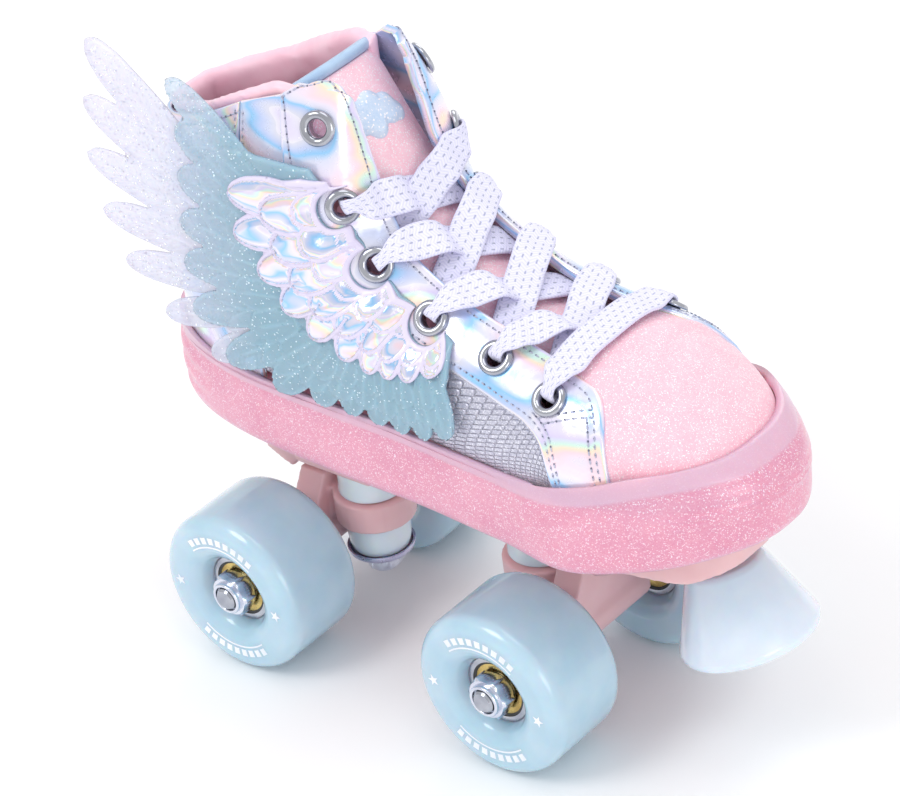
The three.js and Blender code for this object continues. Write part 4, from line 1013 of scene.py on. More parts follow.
def positions(piece):
    values = np.empty(len(piece.data.vertices) * 3, np.float32)
    piece.data.vertices.foreach_get("co", values)
    return values.reshape(-1, 3).astype(float)


def move_to(piece, points):
    piece.data.vertices.foreach_set("co", points.astype(np.float32).ravel())
    piece.data.update()


def apply_modifiers(piece):
    """Bakes what is on the piece into its own mesh."""
    graph = bpy.context.evaluated_depsgraph_get()
    mesh = bpy.data.meshes.new_from_object(piece.evaluated_get(graph))
    piece.modifiers.clear()
    old = piece.data
    piece.data = mesh
    bpy.data.meshes.remove(old)
    piece.data.shade_smooth()


def inflate(piece, voxel, pressure, limit, rounding=2):
    """Turns a closed shell into even cloth and blows it up, moving no point further than `limit` mm."""
    remesh = piece.modifiers.new("even_mesh", "REMESH")
    remesh.mode = "VOXEL"
    remesh.voxel_size = voxel * MM
    apply_modifiers(piece)
    before = positions(piece)
    cloth = piece.modifiers.new("foam", "CLOTH")
    cloth.settings.use_pressure = True
    cloth.settings.uniform_pressure_force = pressure
    cloth.settings.effector_weights.gravity = 0
    cloth.settings.quality = 4
    for step in range(1, 21):
        bpy.context.scene.frame_set(step)
    apply_modifiers(piece)
    bpy.context.scene.frame_set(1)
    moved = positions(piece) - before
    length = np.linalg.norm(moved, axis=1, keepdims=True)
    move_to(piece, before + moved * np.minimum(1, limit * MM / np.maximum(length, 1e-9)))
    finer = piece.modifiers.new("finer", "SUBSURF")
    finer.levels = finer.render_levels = 1
    easing = piece.modifiers.new("easing", "SMOOTH")
    easing.factor, easing.iterations = 0.5, rounding
    apply_modifiers(piece)


collar = make_collar_core()
inflate(collar, 1.8, 4.0, 1.0, 6)
before_creases = positions(collar) / MM
depth_of_crease = 0.9 * np.exp(-(((before_creases[:, 1] - 6) / 2.2) ** 2)) * (before_creases[:, 0] < -70)
before_creases[:, 0] -= depth_of_crease * smooth(before_creases[:, 0], -86, -82)
move_to(collar, before_creases * MM)
print("collar faces:", len(collar.data.polygons))

# %% [markdown]
# ## The tongue
# A flat foam pad faced with glitter cloth, bound at the top with folded tape, and with a
# small soft cloud sewn on. It lies under the laces and curves across the instep.


# %% Tongue, binding and cloud
TONGUE_DROP = FABRIC + 1.1 + 2.2
under_crest = skin(np.array([80, 66, 53, 40, 28, 18, 11, 6]), 0.0, -TONGUE_DROP)
tongue_line = path_through([*under_crest[:, [0, 2]].tolist(), [-5.6, 172.5], [-13.5, 185], [-21.5, 197.5]])
TONGUE_THICK = 3.2
TONGUE_TOP = 0.975


def tongue_point(along, across, off):
    x, z = tongue_line(along)
    x0, z0 = tongue_line(np.clip(along - 0.01, 0, 1))
    x1, z1 = tongue_line(np.clip(along + 0.01, 0, 1))
    normal = np.stack([z1 - z0, 0 * x, x0 - x1], -1)
    normal /= np.linalg.norm(normal, axis=-1, keepdims=True)
    centre = np.stack([x, across, z], -1)
    return centre + normal * (off - 0.012 * across * across)[..., None]


def tongue_half(along):
    return lerp(17, 18, smooth(along, 0.4, 1)) - 3 * smooth(along, 0.95, 1.02)


def tongue_place(u, v, off):
    along = u * TONGUE_TOP
    return tongue_point(along, lerp(-1, 1, v) * tongue_half(along), off)


def tongue_padding(u, v, points):
    crown = 0.8 * np.sin(v * math.pi) ** 0.5 * smooth(u, 0.5, 0.75) * (1 - smooth(u, 0.96, 1.0))
    gather = 0.25 * np.sin(u * 70) * np.exp(-(((u - 0.55) / 0.1) ** 2))
    return crown + gather - 0.3 * np.exp(-(((np.abs(v - 0.5) - 0.44) / 0.02) ** 2))


def binding_place(u, v, off):
    across = lerp(-1, 1, u) * (tongue_half(1.0) + 1.4)
    turn = v * 2 * math.pi
    along = TONGUE_TOP + 0.014 + 0.014 * np.cos(turn)
    return tongue_point(along, across, -TONGUE_THICK / 2 + (TONGUE_THICK / 2 + 1.0) * np.sin(turn) + off)


tongue = panel(
    "glitter_tongue", tongue_place, (125, 36), tongue_finish, top=-0.2, bottom=-TONGUE_THICK, roll=1.1,
    relief=tongue_padding, slot="glitter_fabric", replaces=["tongue"],
)


def make_binding():
    rows, columns = 60, 18
    u, v = np.meshgrid(np.linspace(0, 1, rows), np.linspace(0, 1, columns, endpoint=False), indexing="ij")
    points = binding_place(u, v, 0.0).reshape(-1, 3)
    faces = tube_faces(points, rows, columns)
    return make_piece("tongue_tape", points, faces, tape, slot="binding_tape", replaces=["tongue_binding"])


make_binding()


def lobes_field(a, b, lobes):
    """Smoothly joined discs: positive inside, in mm."""
    total = sum(np.exp((r - np.hypot(a - x, b - y)) / 0.5) for x, y, r in lobes)
    return 0.5 * np.log(total)


CLOUD = [
    (-9.2, -0.6, 3.6), (-4.2, 1.6, 4.4), (1.6, 2.0, 4.9), (7.2, 0.2, 4.2), (0, -1.5, 4.0), (10.6, -1.8, 2.6),
]

# %% [markdown]
# ## Shapes cut from a sheet
# The cloud and the feathers are thin sheets with a free-form outline. The outline is kept
# as a field that is positive inside and zero on the edge. A fine grid is kept where the
# field is positive, and the points just outside are pulled onto the edge, which gives a
# clean outline without any cutting.


# %% Sheets from a field
def cut_sheet(span_a, span_b, step, field, shape):
    """A closed shell where `field` is positive. shape(a, b, inside) gives its face, back and marks."""
    a, b = np.meshgrid(np.arange(*span_a, step), np.arange(*span_b, step), indexing="ij")
    value = field(a, b)
    some = (value[:-1, :-1] > 0) | (value[1:, :-1] > 0) | (value[1:, 1:] > 0) | (value[:-1, 1:] > 0)
    index = np.arange(a.size).reshape(a.shape)
    quads = np.stack([index[:-1, :-1], index[1:, :-1], index[1:, 1:], index[:-1, 1:]], -1)[some]
    used, quads = np.unique(quads, return_inverse=True)
    quads = quads.reshape(-1, 4)
    a, b, value = a.ravel()[used], b.ravel()[used], value.ravel()[used]
    outside = value <= 0
    nudge = 0.05
    for _ in range(4):
        x, z = a[outside], b[outside]
        here = field(x, z)
        slope_x = (field(x + nudge, z) - field(x - nudge, z)) / (2 * nudge)
        slope_z = (field(x, z + nudge) - field(x, z - nudge)) / (2 * nudge)
        size = np.maximum(slope_x**2 + slope_z**2, 0.2)
        a[outside] = x - np.clip(here * slope_x / size, -step, step)
        b[outside] = z - np.clip(here * slope_z / size, -step, step)
    face, back, marks = shape(a, b, np.maximum(field(a, b), 0))
    count = len(a)
    edges = np.concatenate([quads[:, [i, (i + 1) % 4]] for i in range(4)])
    keys = edges[:, 0] * count + edges[:, 1]
    border = edges[~np.isin(keys, edges[:, 1] * count + edges[:, 0])]
    walls = np.stack([border[:, 1], border[:, 0], border[:, 0] + count, border[:, 1] + count], -1)
    faces = quads.tolist() + (quads[:, ::-1] + count).tolist() + walls.tolist()
    points, faces = outwards(np.concatenate([face, back]), faces)
    return points, faces, {key: np.concatenate([mark, mark]) for key, mark in marks.items()}


def cloud_shape(a, b, inside):
    puff = 1.1 * np.sqrt(np.clip(inside / 1.6, 0, 1)) + 0.25 * (inside > 1.2)
    along = 0.86 + b / 125
    return tongue_point(along, a, 0.5 + puff), tongue_point(along, a, 0.3 + 0 * a), {}


cloud_points, cloud_faces, _ = cut_sheet(
    (-16, 16), (-8, 9), 0.4, lambda a, b: lobes_field(a, b, CLOUD), cloud_shape
)
cloud = make_piece(
    "soft_cloud_patch", cloud_points, cloud_faces, patch_finish,
    slot="patch_vinyl", replaces=["tongue_patch"],
)
print("cloud faces:", len(cloud_faces))

# %% [markdown]
# ## Eyelets
# Twelve pressed nickel rings. Each has a barrel through the eyestay and a rolled flange,
# so one profile is turned once and set on the upper at each place, along the surface.

# %% Eyelet rings
EYELET_SPOTS = [
    (70, 123.5), (48.6, 128.8), (25.5, 135.6), (6.4, 148.2), (-2.8, 165.9), (-10.1, 188.1),
]
EYELET_RADIUS, EYELET_HOLE = 5.4, 2.7
EYELET_FOOT = 1.2 + 0.8


def eyelet_frame(index, side):
    x, z = EYELET_SPOTS[index]
    centre = on_side(x, z, side, 0.0)
    normal = on_side(x, z, side, 1.0) - centre
    return centre, normal / np.linalg.norm(normal)


def flange_profile():
    middle = (EYELET_RADIUS + EYELET_HOLE) / 2
    half = (EYELET_RADIUS - EYELET_HOLE) / 2
    turn = np.linspace(0, math.pi, 13)
    arch = [(middle + half * math.cos(t), EYELET_FOOT - 0.5 + 1.45 * math.sin(t) ** 0.8) for t in turn]
    barrel = [(EYELET_HOLE, -FABRIC), (EYELET_HOLE + 0.5, -FABRIC), (EYELET_HOLE + 0.5, EYELET_FOOT - 0.5)]
    return [*arch, *barrel]


def at_every_eyelet(points, faces):
    """A shape drawn round Z, repeated at all the eyelets, as one set of points and faces."""
    frames = [eyelet_frame(index, side) for side in SIDES.values() for index in range(len(EYELET_SPOTS))]
    points, faces, _ = together([(turned_to(points, normal, centre), faces) for centre, normal in frames])
    return oriented(points, faces)


ring_points, ring_faces = at_every_eyelet(*lathe(flange_profile(), 40))
make_piece(
    "eyelet_rings", ring_points, ring_faces, nickel, slot="eyelet_metal",
    replaces=[f"eyelet_{name}_{i + 1}" for name in SIDES for i in range(len(EYELET_SPOTS))],
)


def pierce(pieces, radius):
    """Cuts the eyelet holes through the panels, so that the lining shows in the empty pair."""
    reach = 9
    outline = [(0, -reach), (radius, -reach), (radius, reach), (0, reach)]
    points, faces = at_every_eyelet(*lathe(outline, 28))
    drill = make_piece("drill", points, faces, nickel, body=None)
    for piece in pieces:
        hole = piece.modifiers.new("holes", "BOOLEAN")
        hole.operation = "DIFFERENCE"
        hole.object = drill
        hole.solver = "EXACT"
        apply_modifiers(piece)
    bpy.data.objects.remove(drill)


pierce([panels["eyestay_right"], panels["eyestay_left"]], EYELET_HOLE + 0.4)
print("eyelet rings:", len(SIDES) * len(EYELET_SPOTS))

# %% [markdown]
# ## The lace
# One flat lace makes the whole criss-cross. It starts inside the boot, comes up through
# an eyelet, crosses over the tongue and dives into the next one on the other side. Its
# route is a list of stations, each with a place, the lace's own sideways direction and
# its width, which narrows where it is squeezed into a hole.

# %% The lace's route
LACE_WIDTH, LACE_THICK, LACE_SQUEEZED = 11.2, 1.1, 4.2
LACE_OVER = EYELET_FOOT + 1.2 + 0.6 + LACE_THICK / 2
LACE_EDGE = OVERLAY + 0.3 + LACE_THICK / 2 + 0.5
LACE_UNDER = -FABRIC - 0.3 - LACE_THICK / 2 - 0.2
LACE_CROSSING = LACE_UNDER + LACE_THICK + 0.45
BOTTOM_BAR = LACE_OVER - 2.2

low_bar = through([[0, LACE_UNDER], [0.55, LACE_UNDER], [0.82, LACE_EDGE], [1, LACE_EDGE]])
high_bar = through([
    [0, LACE_UNDER], [0.12, LACE_UNDER], [0.42, LACE_CROSSING], [0.58, LACE_CROSSING],
    [0.82, LACE_EDGE], [1, LACE_EDGE],
])
bottom_bar = through([
    [0, LACE_EDGE], [0.08, LACE_EDGE], [0.4, BOTTOM_BAR],
    [0.6, BOTTOM_BAR], [0.92, LACE_EDGE], [1, LACE_EDGE],
])
DIVE = [
    (6.4, LACE_OVER, 9.6), (4.4, LACE_OVER, 7.4), (2.3, LACE_OVER, LACE_SQUEEZED),
    (1.0, LACE_OVER - 0.35, LACE_SQUEEZED), (0.3, LACE_OVER - 1.15, LACE_SQUEEZED),
    (0, 1, LACE_SQUEEZED), (0, -0.8, LACE_SQUEEZED),
    (0.3, LACE_UNDER + 0.75, LACE_SQUEEZED), (1.0, LACE_UNDER + 0.15, LACE_SQUEEZED),
]
CLIMB = [(2.4, LACE_UNDER, LACE_SQUEEZED), (5, LACE_UNDER, 7), (8, LACE_UNDER, 10)]


def on_width(x, y, off):
    return skin(x, np.sign(y) * angle_at_width(x, abs(y)), off)


def crest_crossing(a, b):
    middle = (a + b) / 2
    x = np.arange(-10, 80, 0.5)
    return float(x[np.argmin(np.hypot(x - middle[0], crest_height(x) - middle[2]))])


def lace_bar(first, last, side, height, both_over=False):
    """The stations of one bar, from an eyelet on `side` to one on the other."""
    start, end = eyelet_frame(first, side)[0], eyelet_frame(last, -side)[0]
    middle_x = crest_crossing(start, end)
    a, b = start[1], end[1]

    def station(y, off, width):
        x = (start[0] * y * (y - b) / (a * (a - b)) + middle_x * (y - a) * (y - b) / (a * b)
             + end[0] * y * (y - a) / (b * (b - a)))
        across = on_width(x + 0.5, y, 0.0) - on_width(x - 0.5, y, 0.0)
        return on_width(x, y, off), across, width

    def inward(y, distance):
        return y - np.sign(y) * distance

    leaving = [station(inward(a, d), off, width) for d, off, width in CLIMB]
    rising = [station(inward(a, d), off, width) for d, off, width in DIVE][::-1]
    arriving = [station(inward(b, d), off, width) for d, off, width in DIVE]
    crossing = []
    for t in np.linspace(0, 1, 9):
        y = lerp(inward(a, 10.5), inward(b, 9.5), t)
        crossing.append(station(y if abs(y) > 0.05 else 0.05, float(height(t)), LACE_WIDTH))
    return [*(rising if both_over else leaving), *crossing, *arriving]


def lace_route():
    bars = [(3, 4, -1, high_bar), (2, 3, 1, low_bar), (1, 2, -1, high_bar), (0, 1, 1, low_bar)]
    mirrored = [(first, last, -side, height) for first, last, side, height in bars[::-1]]
    heights = [high_bar, low_bar, high_bar, low_bar]
    route = []
    for bar in bars:
        route += lace_bar(*bar)[::-1]
    route += lace_bar(0, 0, 1, bottom_bar, both_over=True)
    for (first, last, side, _), height in zip(mirrored, heights):
        route += lace_bar(first, last, side, height)
    return route


def smooth_route(route, finer):
    """The route with `finer` steps between its stations, as places, sideways directions and widths."""
    places = np.array([s[0] for s in route])
    widths = np.array([[s[2]] for s in route], float)
    across = []
    for i, (_, wide, _) in enumerate(route):
        ahead = places[min(i + 1, len(route) - 1)] - places[max(i - 1, 0)]
        ahead /= np.linalg.norm(ahead)
        wide = wide - ahead * (wide @ ahead)
        wide /= np.linalg.norm(wide)
        across.append(-wide if across and wide @ across[-1] < 0 else wide)
    table = np.concatenate([places, np.array(across), widths], 1)
    padded = np.concatenate([table[:1], table, table[-1:]])
    result = []
    for i in range(len(table) - 1):
        p0, p1, p2, p3 = padded[i:i + 4]
        for t in np.arange(finer) / finer:
            cubic = (2 * p1 + (p2 - p0) * t + (2 * p0 - 5 * p1 + 4 * p2 - p3) * t**2
                     + (3 * p1 - p0 - 3 * p2 + p3) * t**3) / 2
            result.append(cubic)
    return np.array(result)


def make_lace():
    table = smooth_route(lace_route(), 5)
    places, across, widths = table[:, :3], table[:, 3:6], table[:, 6]
    across /= np.linalg.norm(across, axis=1, keepdims=True)
    steps = np.linalg.norm(np.diff(places, axis=0), axis=1)
    along = np.concatenate([[0], np.cumsum(steps)])
    ahead = np.gradient(places, axis=0)
    ahead /= np.linalg.norm(ahead, axis=1, keepdims=True)
    up = np.cross(ahead, across)
    section = [(s, 1.0 - 0.35 * abs(s) ** 6) for s in np.linspace(-1, 1, 13)]
    section += [(s, -h) for s, h in section[::-1]]
    rows, uv = [], []
    for s, h in section:
        swell = 0.12 * np.sin(along / 3.1 + s * 2.0)
        sideways = across * (s * widths / 2)[:, None]
        rows.append(places + sideways + up * (h * LACE_THICK / 2 + swell)[:, None])
        uv.append(np.stack([np.full(len(along), (s + 1) / 2), along], -1))
    points = np.stack(rows, 1).reshape(-1, 3)
    print("lace length in mm:", round(float(along[-1])), "width:", LACE_WIDTH)
    return make_piece(
        "flat_lace", points, tube_faces(points, len(places), len(section)), lace_cloth,
        slot="lace_weave", replaces=["lace"], uv=np.stack(uv, 1).reshape(-1, 2),
    )


make_lace()

# %% [markdown]
# ## The wing
# Three layers of feathers are riveted under the eyelets: clear feathers behind the heel,
# blue ones along the foot, and a small puffed wing on top. A feather is a leaf-shaped
# field round a line from root to tip. In each layer shorter rows lie over longer ones,
# so at every point the topmost feather decides the height, as tiles do on a roof.

# %% Feathers as fields
leaf_width = through([
    [-0.1, 0.42], [0, 0.5], [0.3, 0.84], [0.58, 1], [0.8, 0.88], [0.92, 0.62], [0.975, 0.34], [1, 0],
])
WING_ROOT, WING_FLARE, WING_REACH = -22.0, 9.0, 70.0
WING_EYELETS = (2, 3, 4)


def wing_holes(x, z, radius):
    spots = [EYELET_SPOTS[i] for i in WING_EYELETS]
    return np.minimum.reduce([np.hypot(x - a, z - b) - radius for a, b in spots])


def wing_point(x, z, off):
    """A point of the wing seen from the side. Behind its root the wing stands free of the boot."""
    held = np.maximum(x, WING_ROOT)
    out = upper_plan(held) * np.sin(angle_at_height(held, z)) ** (2 / ARCH)
    free = WING_FLARE * (np.maximum(WING_ROOT - x, 0) / WING_REACH) ** 1.5
    pressed = np.exp(-((np.maximum(wing_holes(x, z, EYELET_RADIUS), 0) / 5.0) ** 2)) * off * 0.55
    return np.stack([x + 0 * z, -(out + off - pressed + free), z], -1)


def feather_field(x, z, feather):
    """How far inside a feather's edge a point is, its share of the length, and its side offset in mm."""
    root_x, root_z, tip_x, tip_z, half = feather
    length = math.hypot(tip_x - root_x, tip_z - root_z)
    dx, dz = (tip_x - root_x) / length, (tip_z - root_z) / length
    s = ((x - root_x) * dx + (z - root_z) * dz) / length
    t = (z - root_z) * dx - (x - root_x) * dz
    inside = half * leaf_width(s) - np.abs(t)
    inside = np.minimum(inside, (s + 0.02) * length)
    return np.minimum(inside, (1.0 - s) * length * 1.6), s, t


def outline_field(x, z, outline):
    """Signed distance to a closed outline of [x, z] corners, positive inside."""
    corners = np.array(outline, float)
    nearest = np.full(np.shape(x), np.inf)
    inside = np.zeros(np.shape(x), bool)
    for (ax, az), (bx, bz) in zip(corners, np.roll(corners, -1, axis=0)):
        t = np.clip(((x - ax) * (bx - ax) + (z - az) * (bz - az)) / ((bx - ax) ** 2 + (bz - az) ** 2), 0, 1)
        nearest = np.minimum(nearest, np.hypot(x - ax - t * (bx - ax), z - az - t * (bz - az)))
        crosses = (az > z) != (bz > z)
        reach = ax + (z - az) * (bx - ax) / np.where(bz == az, 1e-9, bz - az)
        inside ^= crosses & (x < reach)
    return np.where(inside, nearest, -nearest)


def shorter_row(feathers, share, width):
    """A row that lies over the first: one feather between each two, `share` as long."""
    row = []
    for (ax, az, bx, bz, ah), (cx, cz, dx, dz, ch) in zip(feathers, feathers[1:]):
        root = ((ax + cx) / 2, (az + cz) / 2)
        tip = ((bx + dx) / 2, (bz + dz) / 2)
        end = [lerp(root[axis], tip[axis], share) for axis in range(2)]
        row.append((*root, *end, (ah + ch) / 2 * width))
    return row


def layer_field(rows, body, hole):
    def field(x, z):
        inside = outline_field(x, z, body)
        for feather in sum(rows, []):
            inside = np.maximum(inside, feather_field(x, z, feather)[0])
        return np.minimum(inside, wing_holes(x, z, hole)) if hole else inside
    return field


def topmost(x, z, rows):
    """For each point the topmost feather's inside distance, length share, side offset and row."""
    inside, s, t, row_number = (np.zeros(x.shape) for _ in range(4))
    for number, row in reversed(list(enumerate(rows))):
        for feather in reversed(row):
            d, along, across = feather_field(x, z, feather)
            here = d > 0
            inside, s, t = np.where(here, d, inside), np.where(here, along, s), np.where(here, across, t)
            row_number = np.where(here, number, row_number)
    return inside, s, t, row_number


CLEAR_FEATHERS = [
    (-38, 160, -93, 201, 5.6), (-36, 153, -92, 184.5, 5.8), (-34, 146, -91, 168, 5.8),
    (-32, 140, -87, 150.5, 5.8), (-32, 133, -81, 134.5, 5.6), (-34, 126, -69, 118.5, 5.2),
    (-32, 119, -54, 106.5, 4.6),
]
CLEAR_BODY = [(-34, 160), (-44, 156), (-46, 118), (-36, 112), (-24, 116), (-22, 150)]
BLUE_FEATHERS = [
    (-24, 168, -62.5, 194.5, 4.6), (-24, 164, -58, 182, 6.4), (-24, 156, -57.5, 168, 6.6),
    (-22, 148, -58, 153, 6.6), (-22, 140, -58, 139, 6.4), (-20, 132, -57, 123, 6.2),
    (-14, 126, -47, 107.5, 6.2), (-6, 124, -30, 101.8, 6), (0, 124, -14, 101.6, 5.6),
    (6, 122, -1.5, 101.7, 5), (12, 122, 10, 101.8, 5), (18, 122, 20, 102.2, 4.8),
    (25, 122, 29.5, 103.4, 4.6), (32, 124, 38.5, 106.6, 4.6),
]
WING_FRONT = [EYELET_SPOTS[i] for i in WING_EYELETS[::-1]]
BLUE_BODY = [
    (-47, 184.5), (-40, 180.5), (-30, 178), (-10, 178), *WING_FRONT,
    (35, 132), (37, 124), (36, 114), (10, 112), (-20, 114), (-46, 126), (-50, 150),
]
CREST_FEATHERS = [
    (-2, 169, -38.5, 166, 6.4), (-2, 162, -37, 153.5, 6.4),
    (0, 156, -29, 142, 6.2), (3, 151, -21, 132.5, 6),
    (6, 146, -11, 126, 5.4), (10, 142, 0, 121.6, 5), (14.5, 139, 9, 119.6, 4.4),
    (19, 137, 16.5, 119.8, 4.2), (24, 134, 24, 120.8, 4), (29.5, 133, 32.5, 124, 4),
]
CREST_BODY = [
    (-28, 171), (-12, 175.5), (-5, 174.5), *WING_FRONT, (31.5, 134.5),
    (30, 130), (14, 130), (-6, 137), (-26, 154),
]


def clear_shape(off, thickness, rows):
    """Soft feathers: a raised rim, a quill down the middle and faint barbs slanting from it."""
    def shape(x, z, edge):
        inside, s, t, row = topmost(x, z, rows)
        rim = np.exp(-((inside / 0.75) ** 2)) * (inside > 0)
        quill = np.exp(-((t / 0.55) ** 2)) * smooth(s, 0.02, 0.2) * smooth(-s, -0.95, -0.7)
        barbs = np.sin((s * 40 - np.abs(t) * 1.1) * 2 * math.pi / 2.6) * smooth(inside, 0.8, 2.0)
        rolled_edge = 0.5 * np.sqrt(np.clip(edge / 0.8, 0, 1))
        height = rolled_edge + 0.42 * quill + 0.1 * barbs + 0.38 * rim + 0.4 * (len(rows) - 1 - row)
        height += 0.35 * smooth(inside, 0, 2.5)
        rib = np.maximum(quill, np.exp(-((edge / 0.9) ** 2))) + rim
        face = wing_point(x, z, off + thickness * 0.35 + height)
        return face, wing_point(x, z, off + 0 * x), {"rib": np.clip(rib, 0, 1)}
    return shape


def puffed_shape(off, rows):
    """The top wing: cells blown up like cushions inside a thick flat border."""
    border = 1.25
    def shape(x, z, edge):
        inside, s, t, row = topmost(x, z, rows)
        nearest = np.where(inside > 0, np.minimum(inside, np.maximum(edge, 0)), 0)
        rim = 1 - smooth(nearest, border - 0.25, border + 0.1)
        ridge = 0.55 + 0.5 * np.sin(np.pi * np.clip(nearest / border, 0, 1))
        puff = 0.25 + 1.15 * np.sqrt(np.clip((nearest - border) / 2.4, 0, 1))
        groove = 0.3 * np.exp(-(((nearest - border) / 0.22) ** 2))
        height = np.where(nearest < border, ridge, puff) - groove + 0.28 * (len(rows) - 1 - row)
        height *= 0.35 + 0.65 * np.sqrt(np.clip(edge / 0.9, 0, 1))
        return wing_point(x, z, off + 0.7 + height), wing_point(x, z, off + 0 * x), {"rim": rim}
    return shape


def make_layer(name, spans, step, field, shape, finish, slot, node):
    points, faces, marks = cut_sheet(*spans, step, field, shape)
    return make_piece(name, points, faces, finish, slot=slot, replaces=[node], marks=marks)


clear_rows = [shorter_row(CLEAR_FEATHERS, 0.5, 1.1), CLEAR_FEATHERS]
blue_rows = [shorter_row(BLUE_FEATHERS, 0.5, 0.9), shorter_row(BLUE_FEATHERS, 0.78, 0.95), BLUE_FEATHERS]
reaching_front = [(x + 6, z + 3, *rest) for x, z, *rest in CREST_FEATHERS]
crest_rows = [
    shorter_row(reaching_front[:6], 0.2, 0.95), shorter_row(reaching_front, 0.44, 1.0),
    shorter_row(reaching_front, 0.73, 1.05), CREST_FEATHERS,
]
clear_wing = make_layer(
    "clear_feather_layer", ((-96, -20), (100, 206)), 0.6, layer_field([CLEAR_FEATHERS], CLEAR_BODY, 0),
    clear_shape(1.8, 1.0, clear_rows), clear_feathers_finish, "clear_wing", "wing_primary",
)
blue_wing = make_layer(
    "blue_feather_layer", ((-70, 44), (101, 198)), 0.6, layer_field([BLUE_FEATHERS], BLUE_BODY, 5.9),
    clear_shape(3.2, 1.2, blue_rows), blue_feathers_finish, "blue_wing", "wing_secondary",
)
crest_wing = make_layer(
    "puffed_wing", ((-50, 42), (114, 182)), 0.42, layer_field([CREST_FEATHERS], CREST_BODY, 5.8),
    puffed_shape(4.8, crest_rows), crest_vinyl, "crest_vinyl", "wing_crest",
)
print("wing faces:", [len(w.data.polygons) for w in (clear_wing, blue_wing, crest_wing)])

# %% [markdown]
# ## Chassis and trucks
# The plate and the hangers are injection moulded, so all their edges are soft. A copy of
# each solid is welded, remeshed evenly and smoothed a little, which rounds every edge and
# fillets every inner corner at once, as a mould does.


# %% Moulded plastic parts
def moulded(name, node, voxel, rounds, body, finish, slot):
    copy = bpy.data.objects.new(name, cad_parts[node].data.copy())
    bpy.context.collection.objects.link(copy)
    weld = copy.modifiers.new("weld", "WELD")
    weld.merge_threshold = 1e-6
    even = copy.modifiers.new("even_mesh", "REMESH")
    even.mode = "VOXEL"
    even.voxel_size = voxel * MM
    easing = copy.modifiers.new("easing", "SMOOTH")
    easing.factor, easing.iterations = 0.5, rounds
    apply_modifiers(copy)
    copy.data.materials.clear()
    copy.data.materials.append(finish)
    return placed(copy, body, slot, [node])


plate = moulded("moulded_plate", "baseplate", 0.8, 4, BOOT, chassis_plastic, "chassis_plastic")
hangers = {
    end: moulded(
        f"{end}_moulded_hanger", f"{end}_hanger", 0.6, 4, f"{end}_truck", chassis_plastic, "chassis_plastic"
    )
    for end in ("front", "rear")
}
print("moulded faces:", len(plate.data.polygons), len(hangers["front"].data.polygons))

# %% [markdown]
# ## Cushions, washers and pins
# Each truck leans on two urethane cushions threaded on its kingpin. They bulge between
# the cup washer and the chassis, and they are squeezed when the truck tilts.
# All of them are profiles turned on the kingpin's line.


# %% Turned truck parts
def hex_profile(flats, levels, segments=48):
    """A hexagonal prism whose corners are chamfered by a limit on the radius at each level."""
    turn = np.linspace(0, 2 * math.pi, segments, endpoint=False)
    flat_radius = flats / 2 / np.cos((turn % (math.pi / 3)) - math.pi / 6)
    rings = []
    for height, limit in levels:
        radius = np.minimum(flat_radius, limit)
        ring = [radius * np.cos(turn), radius * np.sin(turn), np.full(segments, height)]
        rings.append(np.stack(ring, -1))
    points = np.concatenate(rings)
    return points, tube_faces(points, len(rings), segments)


def lock_nut(flats, bore, height, collar):
    """A hexagon nut with a domed collar, and the chamfer that nuts have at their faces."""
    side = flats / 2
    body = hex_profile(flats, [
        (0, bore), (0, side * 1.02), (0.5, side * 1.16), (height - 0.6, side * 1.16), (height, side * 1.0),
        (height, bore),
    ])
    dome = lathe(rounded([
        (bore, height - 0.4), (side * 0.86, height - 0.4),
        (side * 0.82, height + collar), (bore, height + collar),
    ], 0.5), 40)
    return [body, dome]


def pin_end(radius, length):
    """A threaded pin: a row of fine rings, with a chamfered tip at the top."""
    pitch = 1.0
    profile = [(0, -length)]
    for i in range(int((length - 0.8) / pitch * 2)):
        profile.append((radius - (0.28 if i % 2 else 0.0), -length + i * pitch / 2))
    profile += [(radius - 0.3, -0.7), (radius - 0.9, 0), (0, 0)]
    return lathe(profile, 36)


def upright(parts, place, flip=False):
    direction = (0, 0, -1) if flip else (0, 0, 1)
    return [(turned_to(points, direction, place), faces) for points, faces in parts]


def hard_piece(name, parts, finish, body, slot, replaces, choice=None, crease=35):
    points, faces, owner = together([(p, oriented(p, f)[1]) for p, f in parts])
    piece = make_piece(name, points, faces, finish, body=body, slot=slot, replaces=replaces)
    piece.data.set_sharp_from_angle(angle=math.radians(crease))
    return paint_parts(piece, owner, choice) if choice else piece


def size_of(node):
    low, high = (np.array(corner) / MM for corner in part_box(node))
    return low, high, (low + high) / 2


def cushion_parts(node, bulge, taper):
    """A cushion as tall as its solid, narrower at one end by `taper`, with rounded rims."""
    low, high, middle = size_of(node)
    height, radius, bore = high[2] - low[2], (high[0] - low[0]) / 2, 3.3
    profile = rounded([
        (bore, 0), (radius - taper[0], 0),
        (radius - bulge, height * 0.3), (radius - bulge * 0.6, height * 0.6),
        (radius - taper[1], height), (bore, height),
    ], 1.4, 5)
    return upright([lathe(profile)], (middle[0], middle[1], low[2]))


